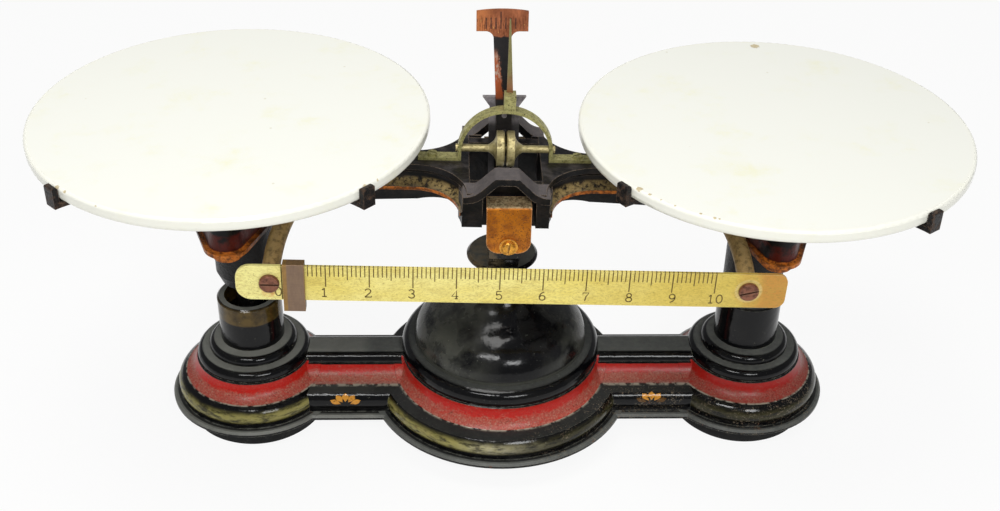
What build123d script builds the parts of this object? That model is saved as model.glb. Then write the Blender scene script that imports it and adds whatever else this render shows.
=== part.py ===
from build123d import *
import math
import os

os.makedirs("parts", exist_ok=True)

# Driving dimensions, in millimetres and degrees
# The balance as a whole
arm_length = 105.0
pivot_height = 112.0
stay_height = 20.5
rest_tilt = 1.32

# Base casting
pad_radius = 28.7
pad_height = 9.5
pad_edge = 1.2
seat_height = 1.5
lip_height = 1.0
lip_round = 0.9
recess_inset = 3.3
recess_height = 1.9
bead_proud = 1.2
bead_height = 6.7
bead_top_inset = 4.8
cove_foot_height = 22.4
cove_hollow = 1.3
top_bead_step = 0.7
top_bead_rise = 0.4
centre_flange_radius = 55.5
centre_cove_foot = 45.4
centre_cove_top = 42.0
centre_cove_top_height = 31.2
centre_crown_radius = 38.4
centre_top_height = 38.2
centre_bead_bulge = 1.9
end_flange_radius = 35.8
end_cove_foot = 29.6
end_cove_top = 24.2
end_cove_top_height = 29.6
end_crown_radius = 20.8
end_crown_height = 34.4
end_bead_bulge = 1.3
bar_flange_half = 25.0
bar_cove_foot = 16.2
bar_cove_top = 8.8
bar_cove_top_height = 28.2
bar_crown_half = 3.8
bar_crown_height = 32.3
bar_bead_bulge = 1.0
post_ring_radius = 18.4
post_ring_top_radius = 15.4
post_ring_top_height = 38.4
post_ring_bulge = 1.2
post_radius = 13.3
post_wall = 3.0
post_height = 59.3
post_rim_round = 0.8
post_foot_rise = 0.4
casting_wall = 4.2
centre_top_plate = 4.0
end_roof_height = 31.0
bar_tunnel_half = 4.6
bar_tunnel_height = 28.4
lug_radius = 8.0
lug_thickness = 5.0
stay_side_gap = 0.5
stay_pin_radius = 2.5
stay_pin_head_radius = 3.8
stay_pin_head = 1.6

# Pillar
bell_radius = 36.1
bell_lip = 1.2
bell_height = 20.5
bell_wall = 4.5
bell_shoulder_angle = 50.0
column_radius = 10.0
column_rise = 1.7
collar_radius = 14.5
collar_thickness = 2.6
collar_round = 1.0
yoke_thickness = 12.0
yoke_foot_half = 12.4
yoke_belly_half = 18.5
yoke_flare_drop = 17.5
yoke_floor_drop = 11.0
yoke_floor_round = 3.0
ear_inner = 20.0
ear_thickness = 7.0
ear_rise = 2.4
pillar_screw_ring_radius = 22.0
pillar_screw_radius = 2.4
pillar_screw_head_radius = 4.8
pillar_screw_head = 3.0
pillar_screw_count = 3
pillar_boss_radius = 5.6
pillar_screw_bite = 9.0

# Knife edges and their bearings
knife_width = 4.4
knife_point = 3.6
knife_body = 1.0
knife_end_gap = 0.6
bearing_width = 7.8
bearing_depth = 4.6
bearing_groove = 1.8
groove_half_angle = 52.0
seat_gap = 0.1
end_knife_point = 4.0
end_knife_body = 2.6
end_knife_inner = 13.5
end_knife_outer = 37.5

# Knife guards
guard_offset = 1.3
guard_width = 17.2
guard_sheet = 1.2
guard_gap = 0.6
guard_reach = 8.6
guard_drop = 20.6
guard_corner = 5.0
guard_screw_drop = 11.0
guard_screw_head_radius = 2.6
guard_screw_head = 1.6
guard_screw_radius = 1.5
guard_screw_bite = 5.0
guard_screw_turn = 80.0
washer_radius = 3.6
washer_thickness = 0.6
screw_slot = 0.7
screw_slot_depth = 0.7

# Beam casting
flare_x = 36.0
flare_y = 26.5
rim_flare = 21.0
neck_flare = 22.0
ledge_flare = 18.3
skirt_inset = 1.0
flare_heart = 27.5
neck_hollow = 1.1
rim_rise = 11.5
rim_thickness = 2.6
neck_rise = 7.8
ledge_rise = 3.0
ledge_thickness = 1.5
skirt_end_x = 19.0
skirt_knee_x = 34.0
skirt_knee_drop = 4.5
skirt_outer_drop = 7.0
arm_pocket_half = 3.0
arm_pocket_start = 24.0
arm_pocket_inset = 27.0
arm_pocket_rise = 6.5
well_half_length = 14.0
well_wall = 4.0
web_inner = 14.6
web_thickness = 4.0
web_dip = 1.1
web_drop = 7.5
web_half_length = 15.4
web_round = 2.2
cheek_front = 26.5
cheek_drop = 3.5
cheek_gap = 1.6
strap_front = 28.0
strap_width = 9.0
strap_thickness = 2.8
strap_hump_rise = 7.2
strap_hump_half = 4.5
strap_low_dip = 0.9
strap_low_x = 12.6
strap_end_x = 16.6
strap_hump_round = 1.5
strap_low_round = 9.0

# End rings of the beam
ring_half_width = 19.0
ring_nose_radius = 7.0
ring_nose_y = 34.2
ring_rise = 6.5
ring_ledge_drop = 7.8
ring_ledge_thickness = 1.7
ring_ledge_proud = 1.8
ring_skirt_inset = 1.4
ring_drop = 13.0
ring_taper = 6.0
ring_slot_half_width = 7.6
ring_bore_radius = 12.0
ring_slot_half_length = 24.0
arm_overlap = 3.5

# Arch, trimming rod and nuts
arch_outer = 18.6
arch_sheet = 1.4
arch_width = 4.4
arch_spring_rise = 4.0
arch_foot_length = 15.4
arch_screw_x = 28.5
arch_screw_head_radius = 1.9
arch_screw_head = 1.2
arch_screw_radius = 1.2
arch_screw_bite = 3.0
arch_screw_turn = 25.0
rod_radius = 1.5
rod_rise = 4.8
rod_overhang = 0.8
nut_radius = 7.0
nut_thickness = 6.2
nut_gap = 0.9
nut_crown = 3.2
nut_bulge = 1.0
nut_edge = 0.5
nut_bore_gap = 0.05

# Pointer and index
pointer_foot_x = 0.9
pointer_tip_x = -0.35
pointer_y = 1.4
pointer_thickness = 1.2
pointer_foot_width = 2.6
pointer_tip_width = 0.5
pointer_tip_rise = 70.2
pointer_bite = 3.5
block_width = 4.5
block_depth = 5.2
block_height = 6.2
block_saddle = 1.0
index_x = -1.4
index_front = 7.8
index_sheet = 1.2
index_rise = 71.2
index_head_width = 19.6
index_head_height = 8.8
index_crown = 0.8
index_stem_top_width = 6.8
index_stem_foot_width = 5.8
index_stem_foot_x = 0.2
index_corner = 3.0
index_foot_rise = 16.0
support_sheet = 1.6
support_rise = 34.2
support_tail_width = 17.0
support_waist_width = 11.4
support_waist_rise = 30.0
support_strip_width = 12.0
support_strip_rise = 24.0
support_window_width = 7.4
support_window_drop = 3.0
support_window_rise = 7.6
support_foot_length = 10.0
support_screw_y = 3.5
support_screw_radius = 1.6
support_screw_head_radius = 2.7
support_screw_head = 1.8
support_screw_bite = 6.0
rivet_radius = 1.0
rivet_head_radius = 1.7
rivet_head = 0.7
rivet_low_rise = 19.5
rivet_high_rise = 26.5

# Graduated bar, its brackets and the poise
bar_left_inset = 5.7
bar_right_inset = 0.8
bar_height = 15.0
bar_sheet = 1.2
bar_front = 55.0
bar_drop = 11.0
bar_left_round = 5.6
bar_right_round = 3.8
bar_screw_left_inset = 18.0
bar_screw_right_inset = 15.0
bar_screw_head_radius = 3.75
bar_screw_head = 1.5
bar_screw_radius = 1.8
bar_screw_bite = 3.4
bar_screw_slot = 0.8
bar_screw_round = 0.7
bar_screw_left_turn = 0.0
bar_screw_right_turn = 15.0
bracket_pad_radius = 4.0
bracket_pad = 4.0
bracket_arm_half_width = 3.4
bracket_arm_half_depth = 3.1
bracket_elbow_shift = 3.0
bracket_elbow_y = 30.0
bracket_elbow_drop = 1.2
bracket_root_shift = 10.5
bracket_root_rise = 1.2
root_half_length = 8.4
root_thickness = 3.0
root_drop = 2.4
root_rise = 5.0
root_screw_shift = 6.6
root_screw_rise = 2.4
root_screw_head_radius = 1.8
root_screw_head = 1.4
root_screw_radius = 1.2
root_screw_bite = 3.2
bracket_screw_turn = 9.0
poise_width = 7.9
poise_height = 20.8
poise_sheet = 1.3
poise_gap = 0.15
poise_corner = 0.5
poise_zero_inset = 22.0
poise_reading = 1.1

# Pan carriers, stems and stay
hub_radius = 14.0
hub_rise = 12.0
spider_rise = 19.0
spider_thickness = 4.6
spider_root_half = 5.0
spider_tip_thickness = 2.0
spider_tip_half = 2.7
spider_relief_start = 30.0
clip_width = 5.4
clip_thickness = 2.2
clip_gap = 0.35
clip_rise = 0.5
clip_round = 0.8
spider_count = 4
spider_angle = 45.0
right_spider_turn = -9.5
rear_clip_drop = 3.2
bearing_lug_half = 6.0
bearing_lug_margin = 1.0
carrier_bearing_inner = 14.6
carrier_bearing_outer = 21.4
carrier_bearing_half = 4.0
carrier_bearing_rise = 4.8
carrier_groove_depth = 2.6
stem_spigot_radius = 6.0
stem_spigot = 5.0
stem_neck_radius = 9.0
stem_bell_radius = 12.2
stem_bell_drop = 15.0
stem_bell_round = 1.5
stem_bell_rise = 11.2
stem_nose_side = 10.2
stem_nose_rise = 6.2
stem_nose_radius = 6.5
stem_nose_gap = 2.5
stem_rod_radius = 5.0
stem_foot_radius = 7.0
stem_foot_rise = 12.0
stem_foot_drop = 4.6
stem_slot_rise = 7.0
stem_slot_gap = 0.3
stem_pin_radius = 2.0
stem_pin_gap = 0.1
stem_pin_half = 6.4
stay_half_height = 3.0
stay_thickness = 6.0
stay_eye_radius = 4.4
stay_hub_radius = 6.0
stay_bore_gap = 0.05

# Weighing plates
plate_radius = 76.2
plate_thickness = 5.5
plate_edge_round = 2.3
plate_lip_round = 1.2
plate_hollow_radius = 60.0
plate_hollow_depth = 0.6
plate_gap = 0.2

# Places worked out from the driving dimensions
tilt = math.radians(rest_tilt)
lip_top = centre_top_height + bell_lip
shoulder_turn = math.radians(bell_shoulder_angle)
heading = math.atan2(bell_height * math.cos(shoulder_turn), -bell_radius * math.sin(shoulder_turn))
sweep_radius = (bell_radius * math.cos(shoulder_turn) - column_radius) / (1 - math.sin(heading))
neck_top = lip_top + bell_height * math.sin(shoulder_turn) - sweep_radius * math.cos(heading)
column_top = neck_top + column_rise
collar_height = column_top + collar_thickness
yoke_flare_height = pivot_height - yoke_flare_drop
yoke_belly_height = (collar_height + yoke_flare_height) / 2
yoke_floor_height = pivot_height - yoke_floor_drop
guard_screw_height = pivot_height - guard_screw_drop
rim_height = pivot_height + rim_rise
neck_height = pivot_height + neck_rise
ledge_height = pivot_height + ledge_rise
arm_pocket_end = arm_length - arm_pocket_inset
arm_pocket_top = pivot_height + arm_pocket_rise
web_top = rim_height - web_dip
web_bottom = pivot_height - web_drop
cheek_bottom = pivot_height - cheek_drop
strap_hump_height = rim_height + strap_hump_rise
strap_low_height = rim_height - strap_low_dip
ring_top = pivot_height + ring_rise
ring_ledge_height = pivot_height - ring_ledge_drop
ring_bottom = pivot_height - ring_drop
arch_spring_height = rim_height + arch_spring_rise
rod_height = rim_height + rod_rise
pointer_tip_height = pivot_height + pointer_tip_rise
index_top = pivot_height + index_rise
index_foot_height = pivot_height + index_foot_rise
support_top = pivot_height + support_rise
support_waist_height = pivot_height + support_waist_rise
support_strip_top = pivot_height + support_strip_rise
support_window_low = pivot_height - support_window_drop
support_window_high = pivot_height + support_window_rise
rivet_low = pivot_height + rivet_low_rise
rivet_high = pivot_height + rivet_high_rise
bar_left = bar_left_inset - arm_length
bar_right = arm_length - bar_right_inset
bar_middle = pivot_height - bar_drop
bar_screw_left_x = bar_screw_left_inset - arm_length
bar_screw_right_x = arm_length - bar_screw_right_inset
bracket_elbow_height = pivot_height - bracket_elbow_drop
bracket_root_height = pivot_height + bracket_root_rise
root_bottom = pivot_height - root_drop
root_top = pivot_height + root_rise
root_screw_height = root_bottom + root_screw_rise
poise_zero_x = poise_zero_inset - arm_length
hub_bottom = pivot_height + hub_rise
spider_bottom = pivot_height + spider_rise
spider_top = spider_bottom + spider_thickness
stem_bell_top = pivot_height - stem_bell_drop
stem_bell_bottom = post_height + stem_bell_rise
stem_nose_height = post_height + stem_nose_rise
stem_nose_bottom = post_height + stem_nose_gap
groove_slope = math.tan(math.radians(groove_half_angle))
beam_axis = Axis((0, 0, pivot_height), (0, 1, 0))
stay_axis = Axis((0, 0, stay_height), (0, 1, 0))
carrier_shift = arm_length * (1 - math.cos(tilt))
carrier_lift = arm_length * math.sin(tilt)
base_under = pad_height + seat_height
flange_top = base_under + lip_height + lip_round
bore_radius = post_radius - post_wall
roof_height = centre_top_height - centre_top_plate
stay_gap_half = stay_thickness / 2 + stay_side_gap
lug_outer = stay_gap_half + lug_thickness
ear_outer = ear_inner + ear_thickness
ear_top = pivot_height + ear_rise
bearing_bottom = pivot_height - bearing_depth
bearing_top = pivot_height - seat_gap + bearing_groove
knife_top = pivot_height + knife_point + knife_body
knife_half_length = ear_outer - knife_end_gap
guard_under = knife_top + guard_gap
guard_top = guard_under + guard_sheet
guard_front = ear_outer + guard_sheet
web_outer = web_inner + web_thickness
strap_y = strap_front - strap_width / 2
arch_crown = arch_spring_height + arch_outer
arch_foot_top = rim_height + arch_sheet
arch_foot_x = arch_outer + arch_foot_length
block_top = arch_crown + block_height
support_front = index_front + index_sheet
support_back = support_front + support_sheet
bar_back = bar_front - bar_sheet
arm_ledge_half = flare_y - ledge_flare
arm_skirt_half = arm_ledge_half - skirt_inset
ledge_under = ledge_height - ledge_thickness
skirt_knee_height = ledge_under - skirt_knee_drop
skirt_outer_height = ledge_under - skirt_outer_drop
rim_under = rim_height - rim_thickness
skirt_flare = ledge_flare + skirt_inset
arm_end_x = arm_length - ring_half_width + arm_overlap
strap_slope = math.atan2(strap_hump_height - strap_low_height, strap_low_x - strap_hump_half)
strap_shift = strap_thickness * math.tan(strap_slope / 2)
root_front = arm_ledge_half + root_thickness
bracket_places = (
    ("left", bar_screw_left_x, bar_screw_left_x + bracket_root_shift),
    ("right", bar_screw_right_x, bar_screw_right_x - bracket_root_shift),
)
poise_front = bar_front + poise_gap + poise_sheet
poise_back = bar_back - poise_gap - poise_sheet
poise_top = bar_middle + bar_height / 2 + poise_gap + poise_sheet
plate_bottom = spider_top + plate_gap
plate_top = plate_bottom + plate_thickness
clip_inner = plate_radius + clip_gap
clip_outer = clip_inner + clip_thickness
clip_foot = spider_top - spider_tip_thickness
spider_side_angle = math.degrees(math.atan2(clip_outer, spider_root_half - spider_tip_half))
lug_near = carrier_bearing_inner - bearing_lug_margin
lug_far = carrier_bearing_outer + bearing_lug_margin
carrier_bearing_top = pivot_height + carrier_bearing_rise
carrier_bearing_bottom = pivot_height + seat_gap - carrier_groove_depth
stem_foot_top = stay_height + stem_foot_rise
stem_slot_half = stay_thickness / 2 + stem_slot_gap
sides = ((-1, "left"), (1, "right"))
ends = ((-1, "front"), (1, "rear"))


# Section shared by the base's lobes and bars: lip, bead, ledge, cove and top bead
def moulding(flange, foot, neck, neck_height, crown, crown_height, bulge):
    recess = flange - recess_inset
    bead_top = (flange - bead_top_inset, flange_top + bead_height + recess_height)
    Polyline(
        (0, base_under),
        (flange, base_under),
        (flange, base_under + lip_height),
        (flange - lip_round, flange_top),
        (recess, flange_top),
        (recess, flange_top + recess_height),
    )
    SagittaArc((recess, flange_top + recess_height), bead_top, -bead_proud)
    Line(bead_top, (foot, cove_foot_height))
    SagittaArc((foot, cove_foot_height), (neck, neck_height), cove_hollow)
    Line((neck, neck_height), (neck - top_bead_step, neck_height + top_bead_rise))
    SagittaArc((neck - top_bead_step, neck_height + top_bead_rise), (crown, crown_height), -bulge)


# Plane that looks from the front, standing at one end of the beam
def end_plane(side):
    return Plane(origin=(side * arm_length, 0, 0), x_dir=(1, 0, 0), z_dir=(0, -1, 0))


# Screw slot cut across a head
def cut_slot(plane, head_radius, width, turn=0):
    with BuildSketch(plane) as slot:
        Rectangle(2 * head_radius, width, rotation=turn)
    extrude(slot.sketch, amount=-screw_slot_depth, mode=Mode.SUBTRACT)


# Foot pads under the end lobes
for side, hand in sides:
    with BuildPart() as foot_pad:
        with BuildSketch(Plane.XY):
            with Locations((side * arm_length, 0)):
                Circle(pad_radius)
        extrude(amount=pad_height)
        chamfer(foot_pad.edges().group_by(Axis.Z)[0], pad_edge)
    foot_pad.part.label = f"foot_pad_{hand}"
    export_step(foot_pad.part, f"parts/foot_pad_{hand}.step")

# Base casting: three round lobes, two moulded bars, two hollow posts and the stay's lugs
with BuildPart() as base_casting:
    with BuildSketch(Plane.XZ):
        with BuildLine():
            moulding(
                centre_flange_radius,
                centre_cove_foot,
                centre_cove_top,
                centre_cove_top_height,
                centre_crown_radius,
                centre_top_height,
                centre_bead_bulge,
            )
            Polyline((centre_crown_radius, centre_top_height), (0, centre_top_height), (0, base_under))
        make_face()
    revolve(axis=Axis.Z)
    for side, hand in sides:
        with BuildSketch(end_plane(side)):
            with BuildLine():
                moulding(
                    end_flange_radius,
                    end_cove_foot,
                    end_cove_top,
                    end_cove_top_height,
                    end_crown_radius,
                    end_crown_height,
                    end_bead_bulge,
                )
                Line((end_crown_radius, end_crown_height), (post_ring_radius, end_crown_height))
                SagittaArc(
                    (post_ring_radius, end_crown_height),
                    (post_ring_top_radius, post_ring_top_height),
                    -post_ring_bulge,
                )
                Polyline(
                    (post_ring_top_radius, post_ring_top_height),
                    (post_radius, post_ring_top_height + post_foot_rise),
                    (post_radius, post_height - post_rim_round),
                    (post_radius - post_rim_round, post_height),
                    (0, post_height),
                    (0, base_under),
                )
            make_face()
        revolve(axis=Axis((side * arm_length, 0, 0), (0, 0, 1)))
        with BuildSketch(Plane.XY.offset(pad_height)):
            with Locations((side * arm_length, 0)):
                Circle(pad_radius)
        extrude(amount=seat_height)
    with BuildSketch(Plane.YZ):
        with BuildLine():
            moulding(
                bar_flange_half,
                bar_cove_foot,
                bar_cove_top,
                bar_cove_top_height,
                bar_crown_half,
                bar_crown_height,
                bar_bead_bulge,
            )
            Polyline((bar_crown_half, bar_crown_height), (0, bar_crown_height), (0, base_under))
        make_face()
        mirror(about=Plane.YZ)
    extrude(amount=arm_length, both=True)
    # Hollow underside of the lobes and bars
    with BuildSketch(Plane.XZ):
        with BuildLine():
            Polyline(
                (0, pad_height),
                (centre_flange_radius - recess_inset - casting_wall, pad_height),
                (centre_flange_radius - recess_inset - casting_wall, cove_foot_height - casting_wall),
                (centre_cove_top - casting_wall, cove_foot_height + casting_wall),
                (centre_crown_radius - casting_wall, roof_height),
                (0, roof_height),
                close=True,
            )
        make_face()
    revolve(axis=Axis.Z, mode=Mode.SUBTRACT)
    for side, hand in sides:
        with BuildSketch(end_plane(side)):
            with BuildLine():
                Polyline(
                    (0, pad_height),
                    (pad_radius - casting_wall, pad_height),
                    (pad_radius - casting_wall, cove_foot_height - casting_wall),
                    (end_cove_top - casting_wall, cove_foot_height),
                    (post_ring_top_radius, end_roof_height),
                    (bore_radius, end_roof_height),
                    (bore_radius, post_height),
                    (0, post_height),
                    close=True,
                )
            make_face()
        revolve(axis=Axis((side * arm_length, 0, 0), (0, 0, 1)), mode=Mode.SUBTRACT)
    with BuildSketch(Plane.YZ):
        with BuildLine():
            Polyline(
                (0, pad_height),
                (bar_cove_foot - casting_wall, pad_height),
                (bar_cove_foot - casting_wall, cove_foot_height - casting_wall),
                (bar_tunnel_half, bar_tunnel_height),
                (0, bar_tunnel_height),
                close=True,
            )
        make_face()
        mirror(about=Plane.YZ)
    extrude(amount=arm_length, both=True, mode=Mode.SUBTRACT)
    # Lugs for the stay's pin
    with BuildSketch(Plane.XZ.offset(stay_gap_half)):
        with Locations((0, stay_height)):
            Circle(lug_radius)
        with Locations((0, (stay_height + roof_height) / 2)):
            Rectangle(2 * lug_radius, roof_height - stay_height)
    extrude(amount=lug_thickness)
    with BuildSketch(Plane.XZ.offset(-stay_gap_half)):
        with Locations((0, stay_height)):
            Circle(lug_radius)
        with Locations((0, (stay_height + roof_height) / 2)):
            Rectangle(2 * lug_radius, roof_height - stay_height)
    extrude(amount=-lug_thickness)
    with BuildSketch(Plane.XZ):
        with Locations((0, stay_height)):
            Circle(stay_pin_radius)
    extrude(amount=lug_outer, both=True, mode=Mode.SUBTRACT)
    # Clearance holes for the pillar's screws
    with BuildSketch(Plane.XY.offset(roof_height)):
        with PolarLocations(pillar_screw_ring_radius, pillar_screw_count, start_angle=90):
            Circle(pillar_screw_radius)
    extrude(amount=centre_top_plate, mode=Mode.SUBTRACT)
base_casting.part.label = "base_casting"
export_step(base_casting.part, "parts/base_casting.step")

# Pin that carries the stay, riveted over in the base's lugs
with BuildPart() as stay_pin:
    with BuildSketch(Plane.XZ):
        with Locations((0, stay_height)):
            Circle(stay_pin_radius)
    extrude(amount=lug_outer, both=True)
    with BuildSketch(Plane.XZ.offset(lug_outer), Plane.XZ.offset(-lug_outer - stay_pin_head)):
        with Locations((0, stay_height)):
            Circle(stay_pin_head_radius)
    extrude(amount=stay_pin_head)
stay_pin.part.label = "stay_pin"
export_step(stay_pin.part, "parts/stay_pin.step")

# Pillar: hollow bell foot, column, collar and a yoke with two ears
with BuildPart() as pillar:
    with BuildSketch(Plane.XZ):
        with BuildLine():
            Line((bell_radius, centre_top_height), (bell_radius, lip_top))
            bell = EllipticalCenterArc(
                (0, lip_top), bell_radius, bell_height, 0, arc_size=bell_shoulder_angle
            )
            neck = JernArc(bell @ 1, bell % 1, sweep_radius, 90 - math.degrees(heading))
            Polyline(
                neck @ 1,
                (column_radius, column_top),
                (collar_radius - collar_round, column_top),
                (collar_radius, column_top + collar_round),
                (collar_radius, collar_height - collar_round),
                (collar_radius - collar_round, collar_height),
                (0, collar_height),
                (0, lip_top + bell_height - bell_wall),
            )
            EllipticalCenterArc(
                (0, lip_top), bell_radius - bell_wall, bell_height - bell_wall, 0, arc_size=90
            )
            Polyline(
                (bell_radius - bell_wall, lip_top),
                (bell_radius - bell_wall, centre_top_height),
                (bell_radius, centre_top_height),
            )
        make_face()
    revolve(axis=Axis.Z)
    # Bosses inside the bell for the screws
    with BuildSketch(Plane.XY.offset(centre_top_height)):
        with PolarLocations(pillar_screw_ring_radius, pillar_screw_count, start_angle=90):
            Circle(pillar_boss_radius)
    extrude(amount=pillar_screw_bite + bell_lip)
    with BuildSketch(Plane.XY.offset(centre_top_height)):
        with PolarLocations(pillar_screw_ring_radius, pillar_screw_count, start_angle=90):
            Circle(pillar_screw_radius)
    extrude(amount=pillar_screw_bite, mode=Mode.SUBTRACT)
    # Yoke that reaches round the beam's webs to the two bearings
    with BuildSketch(Plane.YZ) as yoke:
        with BuildLine():
            Line((0, column_top), (yoke_foot_half, column_top))
            Line((yoke_foot_half, column_top), (yoke_foot_half, collar_height))
            ThreePointArc(
                (yoke_foot_half, collar_height),
                (yoke_belly_half, yoke_belly_height),
                (ear_outer, yoke_flare_height),
            )
            Polyline(
                (ear_outer, yoke_flare_height),
                (ear_outer, ear_top),
                (ear_inner, ear_top),
                (ear_inner, yoke_floor_height),
                (0, yoke_floor_height),
                (0, column_top),
            )
        make_face()
        inner_corners = yoke.vertices().filter_by_position(Axis.X, ear_inner, ear_inner)
        fillet(inner_corners.sort_by(Axis.Y)[0], yoke_floor_round)
        mirror(about=Plane.YZ)
    extrude(amount=yoke_thickness / 2, both=True)
    # Pockets for the bearings in the ears
    with BuildSketch(Plane.XZ):
        with Locations((0, (bearing_bottom + ear_top) / 2)):
            Rectangle(bearing_width, ear_top - bearing_bottom)
    extrude(amount=ear_outer, both=True, mode=Mode.SUBTRACT)
    # Tapped holes for the guards' screws and the index support's screw
    with BuildSketch(Plane.XZ.offset(ear_outer), Plane.XZ.offset(-ear_outer + guard_screw_bite)):
        with Locations((guard_offset, guard_screw_height)):
            Circle(guard_screw_radius)
    extrude(amount=-guard_screw_bite, mode=Mode.SUBTRACT)
    with BuildSketch(Plane.XY.offset(yoke_floor_height)):
        with Locations((0, support_screw_y)):
            Circle(support_screw_radius)
    extrude(amount=-support_screw_bite, mode=Mode.SUBTRACT)
pillar.part.label = "pillar"
export_step(pillar.part, "parts/pillar.step")

# Screws that hold the pillar down from under the base
with BuildPart() as pillar_screws:
    with BuildSketch(Plane.XY.offset(roof_height - pillar_screw_head)):
        with PolarLocations(pillar_screw_ring_radius, pillar_screw_count, start_angle=90):
            Circle(pillar_screw_head_radius)
    extrude(amount=pillar_screw_head)
    with BuildSketch(Plane.XY.offset(roof_height)):
        with PolarLocations(pillar_screw_ring_radius, pillar_screw_count, start_angle=90):
            Circle(pillar_screw_radius)
    extrude(amount=centre_top_plate + pillar_screw_bite)
pillar_screws.part.label = "pillar_screws"
export_step(pillar_screws.part, "parts/pillar_screws.step")

# Main bearings: two grooved blocks in the pillar's ears
with BuildPart() as main_bearings:
    with BuildSketch(Plane.XZ.offset(ear_inner)):
        with Locations((0, (bearing_bottom + bearing_top) / 2)):
            Rectangle(bearing_width, bearing_top - bearing_bottom)
        with BuildLine():
            Polyline(
                (0, pivot_height - seat_gap),
                (bearing_groove * groove_slope, bearing_top),
                (-bearing_groove * groove_slope, bearing_top),
                close=True,
            )
        make_face(mode=Mode.SUBTRACT)
    extrude(amount=ear_thickness)
    mirror(about=Plane.XZ)
main_bearings.part.label = "main_bearings"
export_step(main_bearings.part, "parts/main_bearings.step")

# Knife guards: bent sheet caps over the front and rear bearings
for end, place in ends:
    with BuildPart() as knife_guard:
        with BuildSketch(Plane.XZ.offset(ear_outer)) as face:
            with Locations((guard_offset, guard_top - guard_drop / 2)):
                Rectangle(guard_width, guard_drop)
            fillet(face.vertices().group_by(Axis.Y)[0], guard_corner)
            with Locations((guard_offset, guard_screw_height)):
                Circle(guard_screw_radius, mode=Mode.SUBTRACT)
        extrude(amount=guard_sheet)
        with BuildSketch(Plane.XY.offset(guard_under)):
            with Locations((guard_offset, -guard_front)):
                Rectangle(guard_width, guard_reach, align=(Align.CENTER, Align.MIN))
        extrude(amount=guard_sheet)
        bend = knife_guard.edges().filter_by(Axis.X).group_by(Axis.Z)[-1].sort_by(Axis.Y)[0]
        fillet(bend, guard_sheet)
    if end > 0:
        knife_guard.part = mirror(knife_guard.part, about=Plane.XZ, mode=Mode.PRIVATE)
    knife_guard.part.label = f"knife_guard_{place}"
    export_step(knife_guard.part, f"parts/knife_guard_{place}.step")

# Washers under the guards' screws
with BuildPart() as guard_washers:
    with BuildSketch(Plane.XZ.offset(guard_front)):
        with Locations((guard_offset, guard_screw_height)):
            Circle(washer_radius)
            Circle(guard_screw_radius, mode=Mode.SUBTRACT)
    extrude(amount=washer_thickness)
    mirror(about=Plane.XZ)
guard_washers.part.label = "guard_washers"
export_step(guard_washers.part, "parts/guard_washers.step")

# Slotted screws that hold the guards to the ears
with BuildPart() as guard_screws:
    head_plane = Plane.XZ.offset(guard_front + washer_thickness).shift_origin(
        (guard_offset, -guard_front - washer_thickness, guard_screw_height)
    )
    with BuildSketch(head_plane):
        Circle(guard_screw_head_radius)
    extrude(amount=guard_screw_head)
    fillet(guard_screws.edges().group_by(Axis.Y)[0], guard_screw_head - screw_slot_depth)
    cut_slot(head_plane.offset(guard_screw_head), guard_screw_head_radius, screw_slot, guard_screw_turn)
    with BuildSketch(head_plane):
        Circle(guard_screw_radius)
    extrude(amount=-guard_screw_bite - guard_sheet - washer_thickness)
    mirror(about=Plane.XZ)
guard_screws.part.label = "guard_screws"
export_step(guard_screws.part, "parts/guard_screws.step")

# Index support: an upright strip with a foot, a window for the knife edge and a flared head
with BuildPart() as index_support:
    with BuildSketch(Plane.XZ.offset(-support_back)):
        with BuildLine():
            Polyline(
                (0, yoke_floor_height),
                (support_strip_width / 2, yoke_floor_height),
                (support_strip_width / 2, support_strip_top),
                (support_waist_width / 2, support_waist_height),
                (support_tail_width / 2, support_top),
                (0, support_top),
                close=True,
            )
        make_face()
        mirror(about=Plane.YZ)
        with Locations((0, (support_window_low + support_window_high) / 2)):
            Rectangle(
                support_window_width, support_window_high - support_window_low, mode=Mode.SUBTRACT
            )
        with Locations((0, rivet_low), (0, rivet_high)):
            Circle(rivet_radius, mode=Mode.SUBTRACT)
    extrude(amount=support_sheet)
    with BuildSketch(Plane.XY.offset(yoke_floor_height)):
        with Locations((0, support_back)):
            Rectangle(
                support_strip_width, support_foot_length + support_sheet, align=(Align.CENTER, Align.MAX)
            )
        with Locations((0, support_screw_y)):
            Circle(support_screw_radius, mode=Mode.SUBTRACT)
    extrude(amount=support_sheet)
index_support.part.label = "index_support"
export_step(index_support.part, "parts/index_support.step")

# Screw that holds the index support to the yoke's floor
with BuildPart() as support_screw:
    with BuildSketch(Plane.XY.offset(yoke_floor_height - support_screw_bite)):
        with Locations((0, support_screw_y)):
            Circle(support_screw_radius)
    extrude(amount=support_screw_bite + support_sheet)
    head_plane = Plane((0, support_screw_y, yoke_floor_height + support_sheet))
    with BuildSketch(head_plane):
        Circle(support_screw_head_radius)
    extrude(amount=support_screw_head)
    cut_slot(head_plane.offset(support_screw_head), support_screw_head_radius, screw_slot)
support_screw.part.label = "support_screw"
export_step(support_screw.part, "parts/support_screw.step")

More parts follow.
